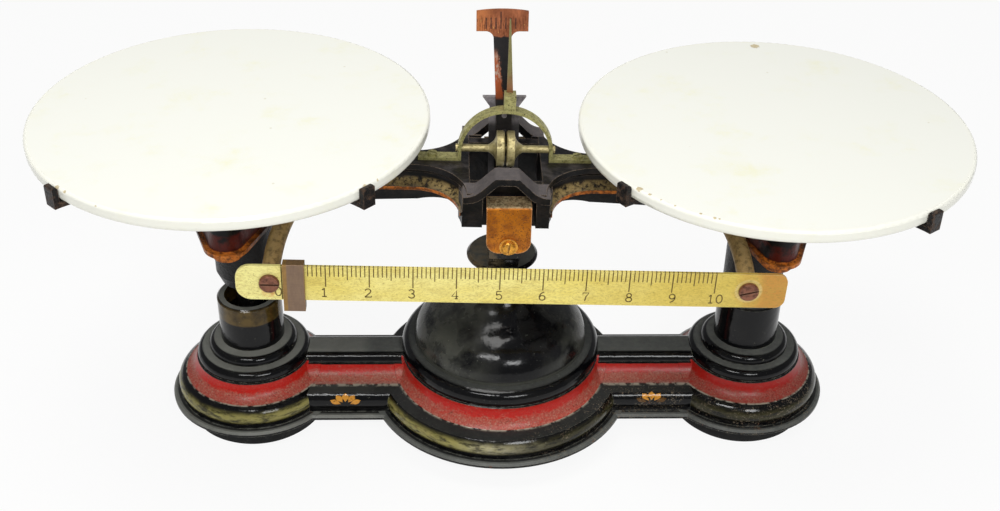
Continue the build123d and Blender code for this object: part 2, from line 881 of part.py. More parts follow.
# Index plate: a crowned head on a tapering stem
with BuildPart() as index_plate:
    with BuildSketch(Plane.XZ.offset(-support_front)) as plate_face:
        head_left = index_x - index_head_width / 2
        head_right = index_x + index_head_width / 2
        head_foot = index_top - index_head_height
        with BuildLine():
            ThreePointArc(
                (head_left, index_top - index_crown),
                (index_x, index_top),
                (head_right, index_top - index_crown),
            )
            Polyline(
                (head_right, index_top - index_crown),
                (head_right, head_foot),
                (index_x + index_stem_top_width / 2, head_foot),
                (index_stem_foot_x + index_stem_foot_width / 2, index_foot_height),
                (index_stem_foot_x - index_stem_foot_width / 2, index_foot_height),
                (index_x - index_stem_top_width / 2, head_foot),
                (head_left, head_foot),
                (head_left, index_top - index_crown),
            )
        make_face()
        stem_corners = plate_face.vertices().filter_by_position(Axis.Y, head_foot, head_foot)
        fillet(stem_corners.sort_by(Axis.X)[1:3], index_corner)
        with Locations((0, rivet_low), (0, rivet_high)):
            Circle(rivet_radius, mode=Mode.SUBTRACT)
    extrude(amount=index_sheet)
index_plate.part.label = "index_plate"
export_step(index_plate.part, "parts/index_plate.step")

# Rivets between the index plate and its support
with BuildPart() as index_rivets:
    with BuildSketch(Plane.XZ.offset(-support_back)):
        with Locations((0, rivet_low), (0, rivet_high)):
            Circle(rivet_radius)
    extrude(amount=index_sheet + support_sheet)
    with BuildSketch(Plane.XZ.offset(-support_back - rivet_head)):
        with Locations((0, rivet_low), (0, rivet_high)):
            Circle(rivet_head_radius)
    extrude(amount=rivet_head)
index_rivets.part.label = "index_rivets"
export_step(index_rivets.part, "parts/index_rivets.step")


# Plan of the beam's middle with four hollow corners of one radius, kept to a half length and half width
def beam_plan(flare, half_length, half_width):
    Rectangle(2 * half_length, 2 * half_width)
    with GridLocations(2 * flare_x, 2 * flare_y, 2, 2):
        Circle(flare, mode=Mode.SUBTRACT)


# Side of the beam: ledge, hollow neck and rim, measured from a flare's centre towards its heart
def beam_side(start, sign, heart):
    Polyline(
        (start + sign * heart, ledge_under),
        (start + sign * ledge_flare, ledge_under),
        (start + sign * ledge_flare, ledge_height),
    )
    SagittaArc(
        (start + sign * ledge_flare, ledge_height),
        (start + sign * neck_flare, neck_height),
        -sign * neck_hollow,
    )
    Polyline(
        (start + sign * neck_flare, neck_height),
        (start + sign * rim_flare, rim_under),
        (start + sign * rim_flare, rim_height),
        (start + sign * heart, rim_height),
        (start + sign * heart, ledge_under),
    )


# Plan of one end ring: a round middle drawn out to a nose at the front and at the rear
def ring_plan(side, grow):
    with Locations((side * arm_length, 0)):
        Circle(ring_half_width + grow)
    with Locations((side * arm_length, ring_nose_y), (side * arm_length, -ring_nose_y)):
        Circle(ring_nose_radius + grow)
    make_hull()


# Section of a knife: an edge at the pivot height, two flanks and a body
def knife_section(point, body, x=0):
    Polyline(
        (x, pivot_height),
        (x + knife_width / 2, pivot_height + point),
        (x + knife_width / 2, pivot_height + point + body),
        (x - knife_width / 2, pivot_height + point + body),
        (x - knife_width / 2, pivot_height + point),
        close=True,
    )


# Beam casting: flared middle with an open well, two arms and two end rings
with BuildPart() as beam_casting:
    # Skirts under the arms, deeper towards the rings
    with BuildSketch(Plane.XY.offset(skirt_outer_height)):
        Rectangle(2 * arm_end_x, 2 * arm_skirt_half)
        beam_plan(skirt_flare, flare_x, cheek_front)
    extrude(amount=ledge_under - skirt_outer_height)
    with BuildSketch(Plane.XZ):
        with BuildLine():
            Polyline(
                (skirt_end_x, ledge_under),
                (skirt_knee_x, skirt_knee_height),
                (arm_end_x, skirt_outer_height),
                (arm_end_x, ledge_under),
                close=True,
            )
        make_face()
        mirror(about=Plane.YZ)
    extrude(amount=cheek_front, both=True, mode=Mode.INTERSECT)
    # Hollow sides of the middle
    for corner_x in (-flare_x, flare_x):
        for corner_y in (-flare_y, flare_y):
            inward = -math.copysign(1, corner_x)
            with BuildSketch(Plane((corner_x, corner_y, 0), (inward, 0, 0), (0, -inward, 0))):
                with BuildLine():
                    beam_side(0, 1, flare_heart)
                make_face()
            turn = math.copysign(1, corner_x * corner_y)
            revolve(axis=Axis((corner_x, corner_y, 0), (0, 0, turn)), revolution_arc=90)
    # Arms
    for side, hand in sides:
        with BuildSketch(Plane.YZ.offset(side * flare_x)):
            with BuildLine():
                beam_side(flare_y, -1, flare_y)
            make_face()
            mirror(about=Plane.YZ)
        extrude(amount=side * (arm_end_x - flare_x))
    # Deck, cheeks and webs of the middle
    with BuildSketch(Plane.XY.offset(rim_under)):
        beam_plan(rim_flare, flare_x, cheek_front)
    extrude(amount=rim_thickness)
    with BuildSketch(Plane.XY.offset(cheek_bottom)):
        beam_plan(skirt_flare, well_half_length + well_wall, cheek_front)
    extrude(amount=rim_under - cheek_bottom)
    with BuildSketch(Plane.XZ.offset(web_inner), Plane.XZ.offset(-web_outer)) as web:
        with Locations((0, (web_bottom + rim_under) / 2)):
            Rectangle(2 * web_half_length, rim_under - web_bottom)
        fillet(web.vertices().group_by(Axis.Y)[0], web_round)
    extrude(amount=web_thickness)
    # Open well, space for the guards and lowered web tops
    with BuildSketch(Plane.XY.offset(web_bottom)):
        Rectangle(2 * well_half_length, 2 * web_inner)
        for middle_y in ((web_outer + strap_front) / 2, -(web_outer + strap_front) / 2):
            with Locations((guard_offset, middle_y)):
                Rectangle(guard_width + 2 * cheek_gap, strap_front - web_outer)
    extrude(amount=rim_height - web_bottom, mode=Mode.SUBTRACT)
    with BuildSketch(Plane.XY.offset(web_top)):
        Rectangle(2 * well_half_length, 2 * web_outer)
    extrude(amount=rim_height - web_top, mode=Mode.SUBTRACT)
    # Straps that arch over the guards
    with BuildSketch(Plane.XZ.offset(strap_y)) as strap:
        with BuildLine():
            Polyline(
                (0, strap_hump_height),
                (strap_hump_half, strap_hump_height),
                (strap_low_x, strap_low_height),
                (strap_end_x, strap_low_height),
                (strap_end_x, strap_low_height - strap_thickness),
                (strap_low_x - strap_shift, strap_low_height - strap_thickness),
                (strap_hump_half - strap_shift, strap_hump_height - strap_thickness),
                (0, strap_hump_height - strap_thickness),
                close=True,
            )
        make_face()
        strap_slope_x = (strap_hump_half + strap_low_x) / 2
        low_bends = strap.vertices().filter_by_position(Axis.X, strap_slope_x, strap_low_x)
        fillet(low_bends, strap_low_round)
        hump_bends = strap.vertices().filter_by_position(Axis.X, strap_hump_round, strap_hump_half)
        fillet(hump_bends, strap_hump_round)
        mirror(about=Plane.YZ)
    extrude(amount=strap_width / 2, both=True)
    with BuildSketch(Plane.XZ.offset(-strap_y)):
        add(strap.sketch_local)
    extrude(amount=strap_width / 2, both=True)
    # End rings: tapered body, ledge and skirt
    for side, hand in sides:
        with BuildSketch(Plane.XY.offset(ring_ledge_height)):
            ring_plan(side, 0)
        extrude(amount=ring_top - ring_ledge_height, taper=ring_taper)
        with BuildSketch(Plane.XY.offset(ring_ledge_height)):
            ring_plan(side, ring_ledge_proud)
        extrude(amount=-ring_ledge_thickness)
        with BuildSketch(Plane.XY.offset(ring_bottom)):
            ring_plan(side, -ring_skirt_inset)
        extrude(amount=ring_ledge_height - ring_bottom)
    # Openings through the rings for the pan carriers
    with BuildSketch(Plane.XY.offset(ring_bottom)):
        with Locations((arm_length, 0), (-arm_length, 0)):
            Rectangle(2 * ring_slot_half_width, 2 * ring_slot_half_length)
            Circle(ring_bore_radius)
    extrude(amount=rim_height - ring_bottom, mode=Mode.SUBTRACT)
    # Hollow underside of the arms
    with BuildSketch(Plane.XY.offset(skirt_outer_height)):
        with GridLocations(arm_pocket_start + arm_pocket_end, 0, 2, 1):
            Rectangle(arm_pocket_end - arm_pocket_start, 2 * arm_pocket_half)
    extrude(amount=arm_pocket_top - skirt_outer_height, mode=Mode.SUBTRACT)
    # Seats of the knife edges
    with BuildSketch(Plane.XZ):
        with BuildLine():
            knife_section(knife_point, knife_body)
        make_face()
    extrude(amount=knife_half_length, both=True, mode=Mode.SUBTRACT)
    with BuildSketch(Plane.XZ):
        for side, hand in sides:
            with BuildLine():
                knife_section(-end_knife_point, -end_knife_body, side * arm_length)
            make_face()
    extrude(amount=end_knife_outer, both=True, mode=Mode.SUBTRACT)
    # Screw holes for the arch and for the bar's brackets
    with BuildSketch(Plane.XY.offset(rim_height)):
        with Locations((arch_screw_x, 0), (-arch_screw_x, 0)):
            Circle(arch_screw_radius)
    extrude(amount=-arch_screw_bite, mode=Mode.SUBTRACT)
    with BuildSketch(Plane.XZ.offset(arm_skirt_half)):
        for hand, screw_x, root_x in bracket_places:
            with Locations((root_x, root_screw_height)):
                with GridLocations(2 * root_screw_shift, 0, 2, 1):
                    Circle(root_screw_radius)
    extrude(amount=-root_screw_bite, mode=Mode.SUBTRACT)
beam_casting.part = beam_casting.part.rotate(beam_axis, rest_tilt)
beam_casting.part.label = "beam_casting"
export_step(beam_casting.part, "parts/beam_casting.step")

# Main knife edge, edge down across the beam
with BuildPart() as main_knife_edge:
    with BuildSketch(Plane.XZ):
        with BuildLine():
            knife_section(knife_point, knife_body)
        make_face()
    extrude(amount=knife_half_length, both=True)
main_knife_edge.part = main_knife_edge.part.rotate(beam_axis, rest_tilt)
main_knife_edge.part.label = "main_knife_edge"
export_step(main_knife_edge.part, "parts/main_knife_edge.step")

# End knife edges, edge up, a front and a rear piece in each ring
for side, hand in sides:
    with BuildPart() as end_knife_edges:
        with BuildSketch(Plane.XZ.offset(end_knife_inner)):
            with BuildLine():
                knife_section(-end_knife_point, -end_knife_body, side * arm_length)
            make_face()
        extrude(amount=end_knife_outer - end_knife_inner)
        mirror(about=Plane.XZ)
    end_knife_edges.part = end_knife_edges.part.rotate(beam_axis, rest_tilt)
    end_knife_edges.part.label = f"end_knife_edges_{hand}"
    export_step(end_knife_edges.part, f"parts/end_knife_edges_{hand}.step")

# Arch over the beam's well, with two feet
with BuildPart() as arch_bridge:
    with BuildSketch(Plane.XZ):
        with BuildLine():
            RadiusArc((0, arch_crown), (arch_outer, arch_spring_height), arch_outer)
            Polyline(
                (arch_outer, arch_spring_height),
                (arch_outer, arch_foot_top),
                (arch_foot_x, arch_foot_top),
                (arch_foot_x, rim_height),
                (arch_outer - arch_sheet, rim_height),
                (arch_outer - arch_sheet, arch_spring_height),
            )
            RadiusArc(
                (arch_outer - arch_sheet, arch_spring_height),
                (0, arch_crown - arch_sheet),
                arch_sheet - arch_outer,
            )
            Line((0, arch_crown - arch_sheet), (0, arch_crown))
        make_face()
        mirror(about=Plane.YZ)
    extrude(amount=arch_width / 2, both=True)
    with BuildSketch(Plane.YZ):
        with Locations((0, rod_height)):
            Circle(rod_radius)
    extrude(amount=arch_outer, both=True, mode=Mode.SUBTRACT)
    with BuildSketch(Plane.XY.offset(rim_height)):
        with Locations((arch_screw_x, 0), (-arch_screw_x, 0)):
            Circle(arch_screw_radius)
    extrude(amount=arch_sheet, mode=Mode.SUBTRACT)
arch_bridge.part = arch_bridge.part.rotate(beam_axis, rest_tilt)
arch_bridge.part.label = "arch_bridge"
export_step(arch_bridge.part, "parts/arch_bridge.step")

# Screws in the arch's feet
with BuildPart() as arch_screws:
    with BuildSketch(Plane.XY.offset(arch_foot_top)):
        with Locations((arch_screw_x, 0), (-arch_screw_x, 0)):
            Circle(arch_screw_head_radius)
    extrude(amount=arch_screw_head)
    with BuildSketch(Plane.XY.offset(arch_foot_top)):
        with Locations((arch_screw_x, 0), (-arch_screw_x, 0)):
            Circle(arch_screw_radius)
    extrude(amount=-arch_sheet - arch_screw_bite)
    for side, hand in sides:
        head_plane = Plane((side * arch_screw_x, 0, arch_foot_top + arch_screw_head))
        cut_slot(head_plane, arch_screw_head_radius, screw_slot, side * arch_screw_turn)
arch_screws.part = arch_screws.part.rotate(beam_axis, rest_tilt)
arch_screws.part.label = "arch_screws"
export_step(arch_screws.part, "parts/arch_screws.step")

# Rod across the arch that the balance nuts run on
with BuildPart() as balance_rod:
    with BuildSketch(Plane.YZ):
        with Locations((0, rod_height)):
            Circle(rod_radius)
    extrude(amount=arch_outer + rod_overhang, both=True)
balance_rod.part = balance_rod.part.rotate(beam_axis, rest_tilt)
balance_rod.part.label = "balance_rod"
export_step(balance_rod.part, "parts/balance_rod.step")

# Balance nuts with flat inner faces and crowned outer faces
for side, hand in sides:
    with BuildPart() as balance_nut:
        nut_inner = side * nut_gap / 2
        nut_outer = side * (nut_gap / 2 + nut_thickness)
        nut_shoulder = side * (nut_gap / 2 + nut_thickness - nut_crown)
        nut_bore = rod_height + rod_radius + nut_bore_gap
        with BuildSketch(Plane.XZ):
            with BuildLine():
                Polyline(
                    (nut_outer, nut_bore),
                    (nut_inner, nut_bore),
                    (nut_inner, rod_height + nut_radius - nut_edge),
                    (nut_inner + side * nut_edge, rod_height + nut_radius),
                    (nut_shoulder, rod_height + nut_radius),
                )
                SagittaArc((nut_shoulder, rod_height + nut_radius), (nut_outer, nut_bore), -side * nut_bulge)
            make_face()
        revolve(axis=Axis((0, 0, rod_height), (1, 0, 0)))
    balance_nut.part = balance_nut.part.rotate(beam_axis, rest_tilt)
    balance_nut.part.label = f"balance_nut_{hand}"
    export_step(balance_nut.part, f"parts/balance_nut_{hand}.step")


# Outline of the pointer, wide at the foot and narrow at the tip
def pointer_outline():
    Polyline(
        (pointer_foot_x - pointer_foot_width / 2, block_top - pointer_bite),
        (pointer_foot_x + pointer_foot_width / 2, block_top - pointer_bite),
        (pointer_tip_x + pointer_tip_width / 2, pointer_tip_height),
        (pointer_tip_x - pointer_tip_width / 2, pointer_tip_height),
        close=True,
    )


# Block on the arch's crown that holds the pointer
with BuildPart() as pointer_block:
    with BuildSketch(Plane.XY.offset(arch_crown - block_saddle)):
        with Locations((pointer_foot_x, 0)):
            Rectangle(block_width, block_depth)
    extrude(amount=block_height + block_saddle)
    with BuildSketch(Plane.XZ):
        with Locations((0, arch_spring_height)):
            Circle(arch_outer)
    extrude(amount=block_depth, both=True, mode=Mode.SUBTRACT)
    with BuildSketch(Plane.XZ.offset(-pointer_y)):
        with BuildLine():
            pointer_outline()
        make_face()
    extrude(amount=pointer_thickness / 2, both=True, mode=Mode.SUBTRACT)
pointer_block.part = pointer_block.part.rotate(beam_axis, rest_tilt)
pointer_block.part.label = "pointer_block"
export_step(pointer_block.part, "parts/pointer_block.step")

# Pointer: a flat tapering needle
with BuildPart() as pointer:
    with BuildSketch(Plane.XZ.offset(-pointer_y)):
        with BuildLine():
            pointer_outline()
        make_face()
    extrude(amount=pointer_thickness / 2, both=True)
pointer.part = pointer.part.rotate(beam_axis, rest_tilt)
pointer.part.label = "pointer"
export_step(pointer.part, "parts/pointer.step")

# Graduated bar
with BuildPart() as scale_bar:
    with BuildSketch(Plane.XZ.offset(bar_back)) as bar_face:
        with Locations(((bar_left + bar_right) / 2, bar_middle)):
            Rectangle(bar_right - bar_left, bar_height)
        fillet(bar_face.vertices().group_by(Axis.X)[0], bar_left_round)
        fillet(bar_face.vertices().group_by(Axis.X)[-1], bar_right_round)
        with Locations((bar_screw_left_x, bar_middle), (bar_screw_right_x, bar_middle)):
            Circle(bar_screw_radius, mode=Mode.SUBTRACT)
    extrude(amount=bar_sheet)
scale_bar.part = scale_bar.part.rotate(beam_axis, rest_tilt)
scale_bar.part.label = "scale_bar"
export_step(scale_bar.part, "parts/scale_bar.step")

# Slotted screws that hold the bar to its brackets
with BuildPart() as bar_screws:
    with BuildSketch(Plane.XZ.offset(bar_front)):
        with Locations((bar_screw_left_x, bar_middle), (bar_screw_right_x, bar_middle)):
            Circle(bar_screw_head_radius)
    extrude(amount=bar_screw_head)
    fillet(bar_screws.edges().group_by(Axis.Y)[0], bar_screw_round)
    with BuildSketch(Plane.XZ.offset(bar_front)):
        with Locations((bar_screw_left_x, bar_middle), (bar_screw_right_x, bar_middle)):
            Circle(bar_screw_radius)
    extrude(amount=-bar_sheet - bar_screw_bite)
    bar_screw_turns = ((bar_screw_left_x, bar_screw_left_turn), (bar_screw_right_x, bar_screw_right_turn))
    for screw_x, turn in bar_screw_turns:
        head_plane = Plane((screw_x, -bar_front - bar_screw_head, bar_middle), (1, 0, 0), (0, -1, 0))
        cut_slot(head_plane, bar_screw_head_radius, bar_screw_slot, turn)
bar_screws.part = bar_screws.part.rotate(beam_axis, rest_tilt)
bar_screws.part.label = "bar_screws"
export_step(bar_screws.part, "parts/bar_screws.step")

# Curved brackets that carry the bar in front of the beam
for hand, screw_x, root_x in bracket_places:
    elbow_x = screw_x + (root_x - screw_x) * bracket_elbow_shift / bracket_root_shift
    with BuildPart() as bar_bracket:
        with BuildLine():
            reach = ThreePointArc(
                (screw_x, -bar_back + bracket_pad / 2, bar_middle),
                (elbow_x, -bracket_elbow_y, bracket_elbow_height),
                (root_x, -root_front + root_thickness / 2, bracket_root_height),
            )
        with BuildSketch(Plane(origin=reach @ 0, x_dir=(1, 0, 0), z_dir=reach % 0)):
            Ellipse(bracket_arm_half_width, bracket_arm_half_depth)
        sweep(path=reach)
        # Round pad behind the bar
        with BuildSketch(Plane.XZ.offset(bar_back)):
            with Locations((screw_x, bar_middle)):
                Circle(bracket_pad_radius)
        extrude(amount=-bracket_pad)
        # Root that sits against the arm's ledge and skirt
        with BuildSketch(Plane.YZ.offset(root_x)):
            with BuildLine():
                Polyline(
                    (-root_front, root_bottom),
                    (-arm_skirt_half, root_bottom),
                    (-arm_skirt_half, ledge_under),
                    (-arm_ledge_half, ledge_under),
                    (-arm_ledge_half, root_top),
                    (-root_front, root_top),
                    close=True,
                )
            make_face()
        extrude(amount=root_half_length, both=True)
        # Room for the bar and the beam's neck, and screw holes
        with BuildSketch(Plane.XZ.offset(bar_back)):
            with Locations((screw_x, bar_middle)):
                Rectangle(bar_height, bar_height)
        extrude(amount=bar_sheet, mode=Mode.SUBTRACT)
        with BuildSketch(Plane.XZ.offset(bar_back)):
            with Locations((screw_x, bar_middle)):
                Circle(bar_screw_radius)
        extrude(amount=-bar_screw_bite, mode=Mode.SUBTRACT)
        with BuildSketch(Plane.XZ.offset(arm_skirt_half)):
            with Locations((root_x, root_screw_height)):
                with GridLocations(2 * root_screw_shift, 0, 2, 1):
                    Circle(root_screw_radius)
        extrude(amount=root_front - arm_skirt_half, mode=Mode.SUBTRACT)
    bar_bracket.part = bar_bracket.part.rotate(beam_axis, rest_tilt)
    bar_bracket.part.label = f"bar_bracket_{hand}"
    export_step(bar_bracket.part, f"parts/bar_bracket_{hand}.step")
    # Screws that hold the root to the arm
    with BuildPart() as bracket_screws:
        with BuildSketch(Plane.XZ.offset(root_front)):
            with Locations((root_x, root_screw_height)):
                with GridLocations(2 * root_screw_shift, 0, 2, 1):
                    Circle(root_screw_head_radius)
        extrude(amount=root_screw_head)
        with BuildSketch(Plane.XZ.offset(root_front)):
            with Locations((root_x, root_screw_height)):
                with GridLocations(2 * root_screw_shift, 0, 2, 1):
                    Circle(root_screw_radius)
        extrude(amount=arm_skirt_half - root_screw_bite - root_front)
        for shift in (-root_screw_shift, root_screw_shift):
            head_spot = (root_x + shift, -root_front - root_screw_head, root_screw_height)
            head_plane = Plane(head_spot, (1, 0, 0), (0, -1, 0))
            cut_slot(head_plane, root_screw_head_radius, screw_slot, shift * bracket_screw_turn)
    bracket_screws.part = bracket_screws.part.rotate(beam_axis, rest_tilt)
    bracket_screws.part.label = f"bracket_screws_{hand}"
    export_step(bracket_screws.part, f"parts/bracket_screws_{hand}.step")

# Poise: a sheet loop round the bar with a solid lower block
with BuildPart() as poise:
    poise_left = poise_zero_x + poise_reading
    with BuildSketch(Plane.YZ.offset(poise_left)) as loop:
        with Locations((-(poise_front + poise_back) / 2, poise_top - poise_height / 2)):
            Rectangle(poise_front - poise_back, poise_height)
        fillet(loop.vertices(), poise_corner)
        with Locations((-(bar_front + bar_back) / 2, bar_middle)):
            Rectangle(bar_sheet + 2 * poise_gap, bar_height + 2 * poise_gap, mode=Mode.SUBTRACT)
    extrude(amount=poise_width)
poise.part = poise.part.rotate(beam_axis, rest_tilt)
poise.part.label = "poise"
export_step(poise.part, "parts/poise.step")

# Pan carriers with their stems, bearings and pins, and the weighing plates
for side, hand in sides:
    settle = Location((-side * carrier_shift, 0, -side * carrier_lift))
    centre_x = side * arm_length
    spider_turn = spider_angle + (right_spider_turn if side > 0 else 0)
    # Carrier: hub, four arms with clips, and two lugs that hold the bearings
    with BuildPart() as pan_carrier:
        with BuildSketch(Plane.XY.offset(hub_bottom)):
            with Locations((centre_x, 0)):
                Circle(hub_radius)
                Rectangle(2 * bearing_lug_half, 2 * lug_far)
        extrude(amount=spider_bottom - hub_bottom)
        with BuildSketch(Plane.XY.offset(spider_bottom)):
            with Locations((centre_x, 0)):
                Circle(hub_radius)
                with PolarLocations(0, spider_count, start_angle=spider_turn):
                    Trapezoid(
                        2 * spider_root_half,
                        clip_outer,
                        spider_side_angle,
                        rotation=-90,
                        align=(Align.CENTER, Align.MIN),
                    )
        extrude(amount=spider_top - spider_bottom)
        with BuildSketch(Plane.XZ):
            with BuildLine():
                Polyline(
                    (centre_x + spider_relief_start, spider_bottom),
                    (centre_x + clip_inner, clip_foot),
                    (centre_x + clip_outer + clip_thickness, clip_foot),
                    (centre_x + clip_outer + clip_thickness, spider_bottom),
                    close=True,
                )
            make_face()
        revolve(axis=Axis((centre_x, 0, 0), (0, 0, 1)), mode=Mode.SUBTRACT)
        for clip in range(spider_count):
            heading = spider_turn + clip * 360 / spider_count
            drop = rear_clip_drop if math.sin(math.radians(heading)) > 0 else 0
            with BuildSketch(Plane.XY.offset(clip_foot)):
                with Locations((centre_x, 0)):
                    with PolarLocations((clip_inner + clip_outer) / 2, 1, start_angle=heading):
                        Rectangle(clip_thickness, clip_width)
            extrude(amount=plate_top + clip_rise - drop - clip_foot)
        level_faces = pan_carrier.faces().filter_by(Axis.Z)
        clip_tops = level_faces.filter_by_position(
            Axis.Z, spider_top + clip_round, plate_top + clip_thickness
        )
        fillet(clip_tops.edges(), clip_round)
        with BuildSketch(Plane.XY.offset(carrier_bearing_bottom)):
            with Locations((centre_x, 0)):
                with GridLocations(0, lug_near + lug_far, 1, 2):
                    Rectangle(2 * bearing_lug_half, lug_far - lug_near)
        extrude(amount=hub_bottom - carrier_bearing_bottom)
        with BuildSketch(Plane.XY.offset(carrier_bearing_bottom)):
            with Locations((centre_x, 0)):
                Rectangle(2 * carrier_bearing_half, 2 * lug_far)
        extrude(amount=carrier_bearing_top - carrier_bearing_bottom, mode=Mode.SUBTRACT)
        with BuildSketch(Plane.XY.offset(hub_bottom)):
            with Locations((centre_x, 0)):
                Circle(stem_spigot_radius)
        extrude(amount=stem_spigot, mode=Mode.SUBTRACT)
    pan_carrier.part = pan_carrier.part.moved(settle)
    pan_carrier.part.label = f"pan_carrier_{hand}"
    export_step(pan_carrier.part, f"parts/pan_carrier_{hand}.step")
    # Bearings: grooved blocks that rest on the end knife edges
    with BuildPart() as carrier_bearings:
        with BuildSketch(end_plane(side).offset(carrier_bearing_inner)):
            with Locations((0, (carrier_bearing_bottom + carrier_bearing_top) / 2)):
                Rectangle(2 * carrier_bearing_half, carrier_bearing_top - carrier_bearing_bottom)
            with BuildLine():
                Polyline(
                    (0, pivot_height + seat_gap),
                    (carrier_groove_depth * groove_slope, carrier_bearing_bottom),
                    (-carrier_groove_depth * groove_slope, carrier_bearing_bottom),
                    close=True,
                )
            make_face(mode=Mode.SUBTRACT)
        extrude(amount=carrier_bearing_outer - carrier_bearing_inner)
        mirror(about=Plane.XZ)
    carrier_bearings.part = carrier_bearings.part.moved(settle)
    carrier_bearings.part.label = f"carrier_bearings_{hand}"
    export_step(carrier_bearings.part, f"parts/carrier_bearings_{hand}.step")
    # Stem: a bell-shaped weight on a rod with a forked foot
    with BuildPart() as carrier_stem:
        with BuildSketch(end_plane(side)):
            with BuildLine():
                Polyline(
                    (0, hub_bottom + stem_spigot),
                    (stem_spigot_radius, hub_bottom + stem_spigot),
                    (stem_spigot_radius, hub_bottom),
                    (stem_neck_radius, hub_bottom),
                    (stem_neck_radius, stem_bell_top),
                    (stem_bell_radius - stem_bell_round, stem_bell_top),
                    (stem_bell_radius, stem_bell_top - stem_bell_round),
                    (stem_bell_radius, stem_bell_bottom),
                    (stem_nose_side, stem_nose_height),
                    (stem_nose_radius, stem_nose_bottom),
                    (stem_rod_radius, stem_nose_bottom),
                    (stem_rod_radius, stem_foot_top),
                    (stem_foot_radius, stem_foot_top),
                    (stem_foot_radius, stay_height - stem_foot_drop),
                    (0, stay_height - stem_foot_drop),
                    close=True,
                )
            make_face()
        revolve(axis=Axis((centre_x, 0, 0), (0, 0, 1)))
        with BuildSketch(Plane.XY.offset(stay_height - stem_foot_drop)):
            with Locations((centre_x, 0)):
                Rectangle(2 * stem_foot_radius, 2 * stem_slot_half)
        extrude(amount=stem_foot_drop + stem_slot_rise, mode=Mode.SUBTRACT)
        with BuildSketch(end_plane(side)):
            with Locations((0, stay_height)):
                Circle(stem_pin_radius)
        extrude(amount=stem_foot_radius, both=True, mode=Mode.SUBTRACT)
    carrier_stem.part = carrier_stem.part.moved(settle)
    carrier_stem.part.label = f"carrier_stem_{hand}"
    export_step(carrier_stem.part, f"parts/carrier_stem_{hand}.step")
    # Pin through the fork
    with BuildPart() as stem_pin:
        with BuildSketch(end_plane(side)):
            with Locations((0, stay_height)):
                Circle(stem_pin_radius)
        extrude(amount=stem_pin_half, both=True)
    stem_pin.part = stem_pin.part.moved(settle)
    stem_pin.part.label = f"stem_pin_{hand}"
    export_step(stem_pin.part, f"parts/stem_pin_{hand}.step")
    # Weighing plate with a rounded edge and a shallow hollow underneath
    with BuildPart() as plate:
        with BuildSketch(Plane.XY.offset(plate_bottom)):
            with Locations((centre_x, 0)):
                Circle(plate_radius)
        extrude(amount=plate_thickness)
        fillet(plate.edges().group_by(Axis.Z)[0], plate_edge_round)
        fillet(plate.edges().group_by(Axis.Z)[-1], plate_lip_round)
        with BuildSketch(Plane.XY.offset(plate_bottom)):
            with Locations((centre_x, 0)):
                Circle(plate_hollow_radius)
        extrude(amount=plate_hollow_depth, mode=Mode.SUBTRACT)
    plate.part = plate.part.moved(settle)
    plate.part.label = f"plate_{hand}"
    export_step(plate.part, f"parts/plate_{hand}.step")

# Stay lever: a flat bar that pivots in the base and joins the feet of both stems
with BuildPart() as stay_lever:
    with BuildSketch(Plane.XZ):
        with Locations((0, stay_height)):
            Rectangle(2 * arm_length, 2 * stay_half_height)
            Circle(stay_hub_radius)
        with Locations((-arm_length, stay_height), (arm_length, stay_height)):
            Circle(stay_eye_radius)
            Circle(stem_pin_radius + stem_pin_gap, mode=Mode.SUBTRACT)
        with Locations((0, stay_height)):
            Circle(stay_pin_radius + stay_bore_gap, mode=Mode.SUBTRACT)
    extrude(amount=stay_thickness / 2, both=True)
stay_lever.part = stay_lever.part.rotate(stay_axis, rest_tilt)
stay_lever.part.label = "stay_lever"
export_step(stay_lever.part, "parts/stay_lever.step")
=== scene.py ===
import bmesh
import bpy
import math
from mathutils import Matrix, Vector


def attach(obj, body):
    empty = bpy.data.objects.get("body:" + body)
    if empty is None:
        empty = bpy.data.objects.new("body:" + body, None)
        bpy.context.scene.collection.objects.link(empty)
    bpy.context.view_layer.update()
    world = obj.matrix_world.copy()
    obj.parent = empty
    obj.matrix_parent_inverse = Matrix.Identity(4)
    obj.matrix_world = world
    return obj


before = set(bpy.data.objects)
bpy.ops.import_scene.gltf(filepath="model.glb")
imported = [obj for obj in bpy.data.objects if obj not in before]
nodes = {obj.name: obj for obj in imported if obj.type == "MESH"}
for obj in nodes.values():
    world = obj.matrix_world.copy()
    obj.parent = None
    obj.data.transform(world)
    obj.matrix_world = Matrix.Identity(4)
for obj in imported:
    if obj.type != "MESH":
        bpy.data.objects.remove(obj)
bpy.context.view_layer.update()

# Sizes of the balance that the paint and the engraving follow, in millimetres, and its lean
ARM = 105.0
PIVOT = 112.0
TILT = math.radians(1.32)
COVE_FOOT = 22.4
COVE_TOP = 28.1
CENTRE_RISE = 3.1
END_RISE = 1.4
CENTRE_COVE = 46.0
END_COVE = 30.1
CENTRE_LIP = 56.2
END_LIP = 36.5
LIP_WIDTH = 2.6
STRIPE_FOOT = 16.1
STRIPE_TOP = 20.2
BEAD_FRONT = -25.0
COLLAR = 72.0
RING_START = 84.0
STRAP_SIDE = 18.2
BAR_FRONT = -55.0
BAR_MIDDLE = 101.0
BAR_HALF = 7.5
BAR_SCREW = 90.0
PLATE_FRONT = 7.8

# One millimetre in the scene's metres
MM = 0.001


# Colour written as in a picture, turned into the linear one that shaders use
def rgb(red, green, blue):
    parts = (c / 255 for c in (red, green, blue))
    return (*(c / 12.92 if c < 0.04045 else ((c + 0.055) / 1.055) ** 2.4 for c in parts), 1)


